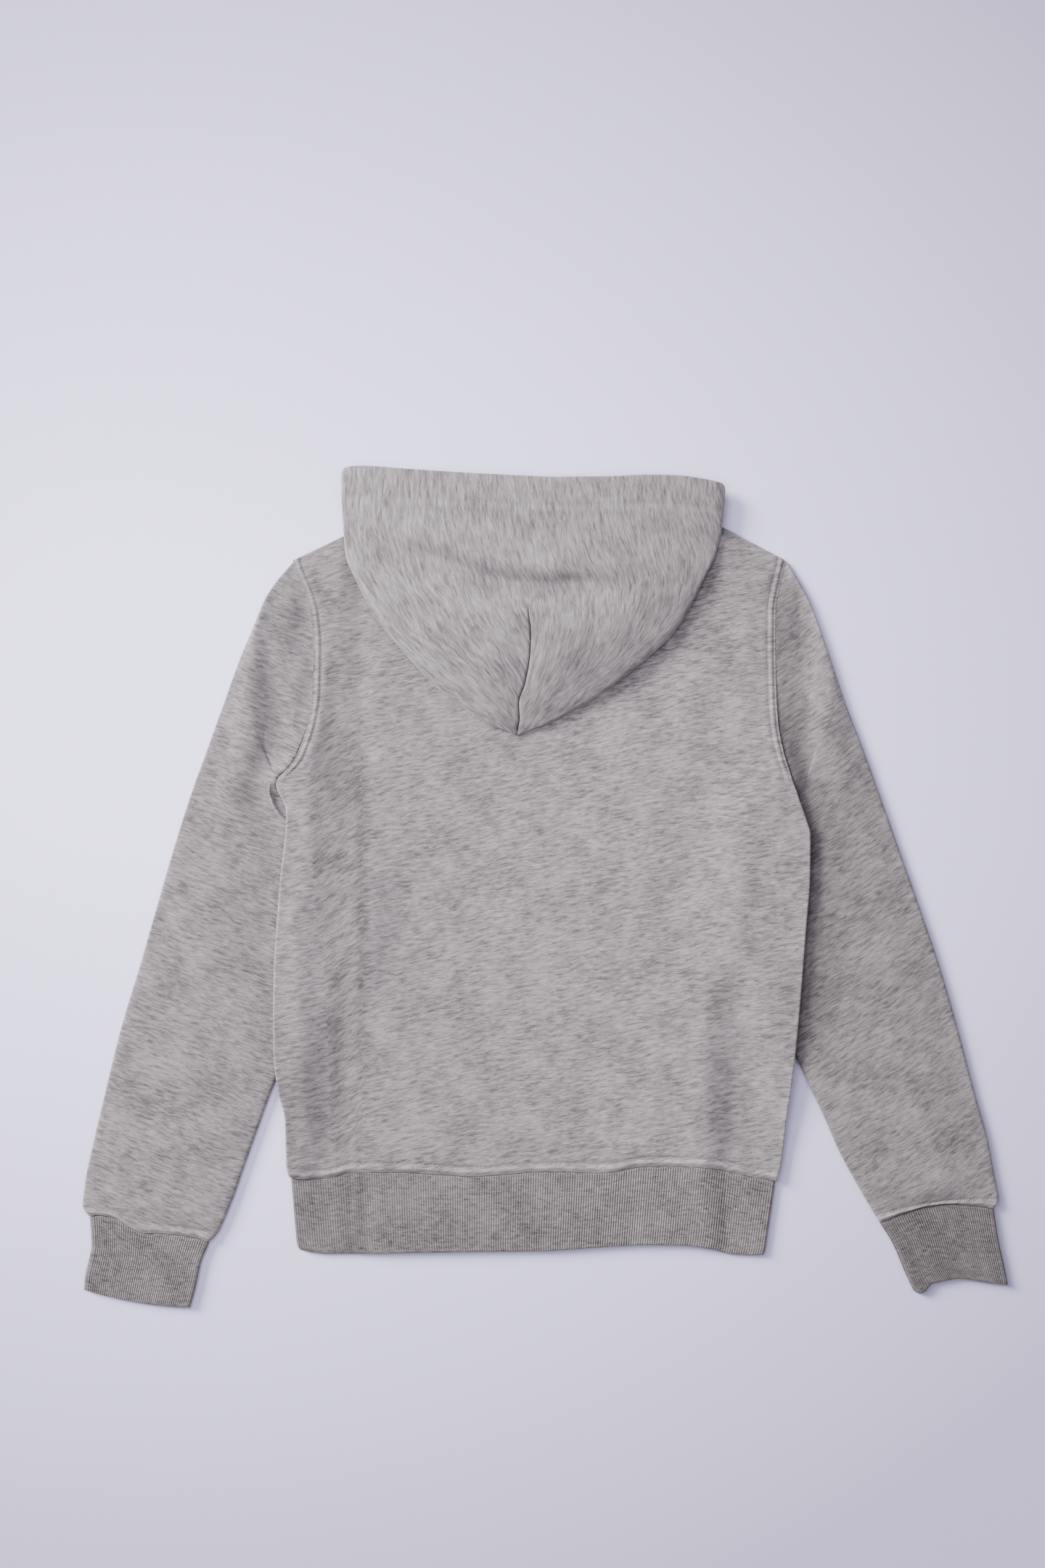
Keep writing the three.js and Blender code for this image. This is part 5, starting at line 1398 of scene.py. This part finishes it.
def hood_turn(side):
    """Where a wing turns up and back over the shoulder into the hood's lower layer: half a
    circle between two short flat runs, carried along the rim."""
    x = np.linspace(NECK_HALF + 1.5, NECK_HALF + 39.5, 24)[None, :]
    rim_y = np.minimum(WING_RIM[side], curve(RIM_LINE, "x", "y", side * x) - 1.2)
    outer_r = (HOOD_BASE - 0.1) / 2
    angle = np.radians(np.linspace(-90, 90, 17))
    walls = []
    for inset in (0.05, CLOTH):
        r = outer_r - inset
        path_y = np.concatenate([[-4], r * np.cos(angle), [-7]]) - outer_r
        path_z = np.concatenate([[outer_r - r], outer_r + r * np.sin(angle), [outer_r + r]])
        points = np.broadcast_arrays(side * x, path_y[:, None] + rim_y, path_z[:, None])
        walls.append(np.stack(points, -1))
    x, y, z = np.moveaxis(walls[0], -1, 0)
    grain = np.stack([y + z, x], -1) + 1700
    return closed_wall(f"hood_turn_{SIDE_NAMES[side]}", *walls, grain, 0 * x, fleece)


# ---------------------------------------------------------------- stitches and teeth
def path_frames(points, pitch):
    """Middle and direction of each stitch, at even steps along a path of points."""
    points = np.asarray(points, float)
    reached = np.concatenate([[0], np.cumsum(np.linalg.norm(np.diff(points, axis=0), axis=1))])
    stations = np.arange(pitch / 2, reached[-1] - pitch / 4, pitch)

    def along(distance):
        """Points at distances along the path, on straight lines between its own points."""
        return np.stack([np.interp(distance, reached, points[:, i]) for i in range(3)], 1)

    direction = along(stations + 0.5) - along(stations - 0.5)
    return along(stations), direction / np.linalg.norm(direction, axis=1, keepdims=True)


def stitch_row(name, paths, pitch=2.9, length=2.1, radius=0.24, up=1.0):
    """Lockstitches along paths: short bent capsules that dip into the cloth at both ends."""
    rings, sides, dip = 7, 6, 0.22
    t = np.linspace(-1, 1, rings)
    turn = np.linspace(0, 2 * np.pi, sides + 1)[:-1]
    swell = radius * np.sqrt(np.clip(1.04 - t**2, 0.02, 1))
    along = np.repeat(t * length / 2, sides)
    across = (swell[:, None] * np.cos(turn)).ravel()
    height = (swell[:, None] * np.sin(turn) - dip * (t**2)[:, None]).ravel() * up
    body = grid_quads(rings, sides, True, 0)
    body = body if up > 0 else body[:, ::-1]
    caps = [np.arange(sides)[::-1], (rings - 1) * sides + np.arange(sides)]
    points, faces = [], []
    start = 0
    for path in paths:
        place, direction = path_frames(path, pitch)
        sideways = np.stack([-direction[:, 1], direction[:, 0], 0 * direction[:, 0]], 1)
        sideways /= np.linalg.norm(sideways, axis=1, keepdims=True)
        ahead = along[None, :, None] * direction[:, None]
        aside = across[None, :, None] * sideways[:, None]
        above = height[None, :, None] * np.array([0, 0, 1.0])
        points.append((place[:, None] + ahead + aside + above).reshape(-1, 3))
        offsets = start + np.arange(len(place))[:, None, None] * len(along)
        faces.extend((body[None] + offsets).reshape(-1, 4).tolist())
        for cap in caps:
            ends = cap if up > 0 else cap[::-1]
            faces.extend((ends[None] + offsets[:, 0]).tolist())
        start += len(place) * len(along)
    mesh = shaded_mesh(name, np.concatenate(points), faces, thread)
    mesh.update()
    return added(name, mesh)


def on_surface(form, x, y):
    """A path in space: plan points with their height from a form, a little proud of it."""
    x, y = np.asarray(x, float), np.asarray(y, float)
    return np.stack([x, y, form(x, y) + STITCH_PROUD], 1)


def armhole_rows():
    """The twin stitch rows beside both armholes, on the back."""
    paths = []
    for side in SIDE_NAMES:
        y = np.linspace(274, 92 if side < 0 else 150, 130)
        for row in TWIN_ROWS:
            paths.append(on_surface(back_surface, body_edge(side, y) - side * row, y))
    return paths


def hem_rows():
    """The cover stitch above the hem rib: one row of stitches that cross to and fro."""
    x = np.arange(-214, 195, 2.0)
    zigzag = np.where(np.arange(len(x)) % 2 == 0, -0.55, 0.55)
    return [on_surface(back_surface, x, hem_seam(x) + COVER_ROW + zigzag)]


def front_rows():
    """A stitch row beside the zip on each front, on the outside of the garment."""
    y = np.linspace(-236, 248, 200)
    from_middle = ZIP_EDGE + ZIP_STITCH
    return [np.stack([0 * y + side * from_middle, y, 0 * y + 0.3], 1) for side in SIDE_NAMES]


def zip_teeth():
    """Moulded teeth on both tapes below the slider: each a small rounded block with a nose,
    lofted over three outlines of eight points, and the right row half a step further up."""
    profile = [(0.35, 0.5), (1.9, 0.62), (3.0, 0.95)]  # from the middle: place, half length
    low, high, bevel, pitch = 2.5, 3.95, 0.35, 2.8
    rise = [(low, 0.7), (low + bevel, 1), (high - bevel, 1), (high, 0.7)]  # height, share of length
    y = np.arange(hem_foot(0.0) + 8, TEETH_TOP, pitch)
    tooth = []
    for x, half in profile:
        tooth += [(x, -half * share, z) for z, share in rise]
        tooth += [(x, half * share, z) for z, share in reversed(rise)]
    tooth = np.array(tooth)
    near_cap = np.array([[7, 6, 1, 0], [6, 5, 2, 1], [5, 4, 3, 2]])
    far_cap = np.array([[16, 17, 22, 23], [17, 18, 21, 22], [18, 19, 20, 21]])
    faces = np.concatenate([grid_quads(len(profile), 8, True), near_cap, far_cap])
    points, quads = [], []
    for i, side in enumerate(SIDE_NAMES):
        moved = np.stack([0 * y, y + i * pitch / 2, 0 * y], 1)
        points.append((tooth * np.array([side, 1, 1]) + moved[:, None]).reshape(-1, 3))
        starts = (i * len(y) + np.arange(len(y))) * len(tooth)
        turned = faces if side > 0 else faces[:, ::-1]
        quads.append((turned[None] + starts[:, None, None]).reshape(-1, 4))
    points, quads = np.concatenate(points), np.concatenate(quads)
    return make_piece("zip_teeth", points, quads, points[:, :2], 0 * points[:, 0], tooth_plastic)


# Distances of the tape's columns from the zip's middle, fine along both edges and the dents.
TAPE_COLUMNS = [
    0.5, 0.62, 0.9, 1.4, 1.9, 2.4, 3, 4, 5.2, 6.4, 7, 7.6, 8.8, 10, 11.4, 12.6, 13.2, 13.5
]


def zip_tape(side):
    """Woven tape on one front's inner face: a thin strip with a corded edge under the teeth and
    a row of stitches' dents along it."""
    first, last = TAPE_COLUMNS[0], TAPE_COLUMNS[-1]
    low, high = hem_foot(0.0) + 0.9, TAPE_TOP
    x, y = np.meshgrid(TAPE_COLUMNS, np.linspace(low, high, 240))
    edge = np.minimum(np.minimum(x - first, last - x), np.minimum(y - low, high - y))
    cord_at, dents_at = 1.3, 7
    half = rounding(edge, TAPE_CLOTH, 0.3) + 0.1 * bell(x - cord_at, 0.7)
    middle = TAPE_MIDDLE - 0.12 * bell(x - dents_at, 0.5)
    top, under = (np.stack([side * x, y, middle + turn * half], -1) for turn in (1, -1))
    grain, name = np.stack([x, y], -1), f"zip_tape_{SIDE_NAMES[side]}_weave"
    return closed_wall(name, top, under, grain, 0 * x, tape_weave)


# ---------------------------------------------------------------- the garment
def declare(piece, nodes):
    """Put a piece on the garment's body and hide the CAD parts that it stands for.
    """
    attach(piece, "root")
    if nodes:
        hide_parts(*nodes)


back = back_panel()
pleat = underarm_pleat()
fronts = {side: front_panel(side) for side in SIDE_NAMES}
sleeves = {side: sleeve(side) for side in SIDE_NAMES}
cuffs = {side: cuff(side) for side in SIDE_NAMES}
band = hem_rib()
hood_body, hood_hem_row = hood()
wings = {side: hood_wing(side) for side in SIDE_NAMES}
turns = {side: hood_turn(side) for side in SIDE_NAMES}
stitches = [
    stitch_row("armhole_stitches", armhole_rows()),
    stitch_row("hem_stitches", hem_rows(), pitch=2.28, length=2.2, radius=0.26),
    stitch_row("cuff_stitches", [path for _, path in sleeves.values()]),
    stitch_row("hood_hem_stitches", [hood_hem_row], pitch=3.2, length=2.3, radius=0.2),
    stitch_row("front_stitches", front_rows(), up=-1.0),
]
teeth = zip_teeth()
tapes = {side: zip_tape(side) for side in SIDE_NAMES}

for piece in (*stitches, pleat):
    declare(piece, [])
declare(teeth, [])
declare(
    back, ["back_panel"]
)
for side, word in SIDE_NAMES.items():
    declare(fronts[side], [f"front_{word}"])
    nodes = [f"sleeve_{word}"]
    declare(sleeves[side][0], nodes)
    declare(cuffs[side], [f"cuff_{word}"])
declare(band, ["hem_rib"])
declare(
    hood_body, ["hood"]
)
for side in SIDE_NAMES:
    declare(wings[side], ["hood"])
    declare(turns[side], ["hood"])
for side, word in SIDE_NAMES.items():
    nodes = [f"zip_tape_{word}"]
    declare(tapes[side], nodes)
for name in ("zip_slider", "zip_pull"):
    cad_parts[name].data.materials[0] = slider_metal


# ---------------------------------------------------------------- floor, light and camera
def floor():
    """A pale matt table top under the garment, larger than the view, with a painted pool of
    light: its colour darkens with the distance from an oval at the upper left."""
    lines, half, below = 12, 2.2, 0.0006
    line = np.linspace(-half, half, lines)
    x, y = np.meshgrid(line, line)
    points = np.stack([x, y, 0 * x - below], -1).reshape(-1, 3)
    mesh = bpy.data.meshes.new("floor")
    mesh.from_pydata(points, [], grid_quads(lines, lines, False)[:, ::-1])
    mesh.update()
    material, tree, shader = new_material("table_top_painted_pool", 0.85)
    place = tree.nodes.new("ShaderNodeTexCoord").outputs["Object"]
    spot = placed(tree, speckle, Size=0.03)
    tree.links.new(place, spot.inputs["Place"])
    oval = vector(tree, "MULTIPLY", place, (1, 1.2, 1))
    away = vector(tree, "DISTANCE", oval, (-0.36, 0.19, 0)).node.outputs["Value"]
    painted_pool_colour = mix_colour(tree, spot.outputs["Mask"], (0.745, 0.705, 0.985, 1), (0.755, 0.715, 1, 1))
    colour = mix_colour(tree, map_range(tree, away, 0.15, 1.05), painted_pool_colour, (0.308, 0.288, 0.41, 1))
    tree.links.new(colour, shader.inputs["Base Color"])
    mesh.materials.append(material)
    added("floor", mesh)


def new_lamp(name, kind, aim, power, colour):
    """A light that shines along a direction, and its object."""
    light = bpy.data.lights.new(name, kind)
    light.energy, light.color = power, colour
    lamp = added(name, light)
    lamp.rotation_euler = Vector(aim).to_track_quat("-Z", "Y").to_euler()
    return light, lamp


def area_light(name, place, target, size, power, colour):
    """A round glowing disc at a place, turned to a target and not itself seen."""
    light, lamp = new_lamp(name, "AREA", np.subtract(target, place), power, colour)
    light.shape, light.size = "DISK", size
    lamp.visible_camera = False
    lamp.location = place


def studio():
    """A soft light low from the upper left, a broad pool of light from above, a pale surrounding."""
    key, _ = new_lamp("key", "SUN", aim=(1.0, -0.6, -0.55), power=12.5, colour=(1, 0.985, 0.965))
    key.angle = np.radians(24)
    area_light(
        "fill", place=(0.75, 0.1, 1.5), target=(0.1, 0, 0), size=1.1, power=10.2,
        colour=(0.96, 0.96, 1),
    )
    area_light(
        "pool", place=(-0.42, 0.22, 1.12), target=(-0.2, 0.1, 0), size=0.8, power=15.0,
        colour=(0.94, 0.94, 1),
    )
    world = bpy.data.worlds.new("studio")
    bpy.context.scene.world = world
    world.use_nodes = True
    sky = world.node_tree.nodes["Background"]
    sky.inputs["Color"].default_value = (0.84, 0.82, 1, 1)
    sky.inputs["Strength"].default_value = 0.52


def camera():
    """Straight above the layout, with the whole garment and a wide margin at the top: as high as
    the view is tall times the lens over the sensor."""
    centre = (np.array(cad_low) + np.array(cad_high)) / 2
    aside_x, aside_y, above = -0.0195, 0.0887, 0.01
    tall, lens, sensor = 1.339, 50, 36
    data = bpy.data.cameras.new("camera")
    data.lens, data.sensor_width, data.sensor_fit = lens, sensor, "AUTO"
    eye = added("camera", data)
    eye.location = (centre[0] + aside_x, centre[1] + aside_y, tall * lens / sensor + above)
    bpy.context.scene.camera = eye


floor()
studio()
camera()
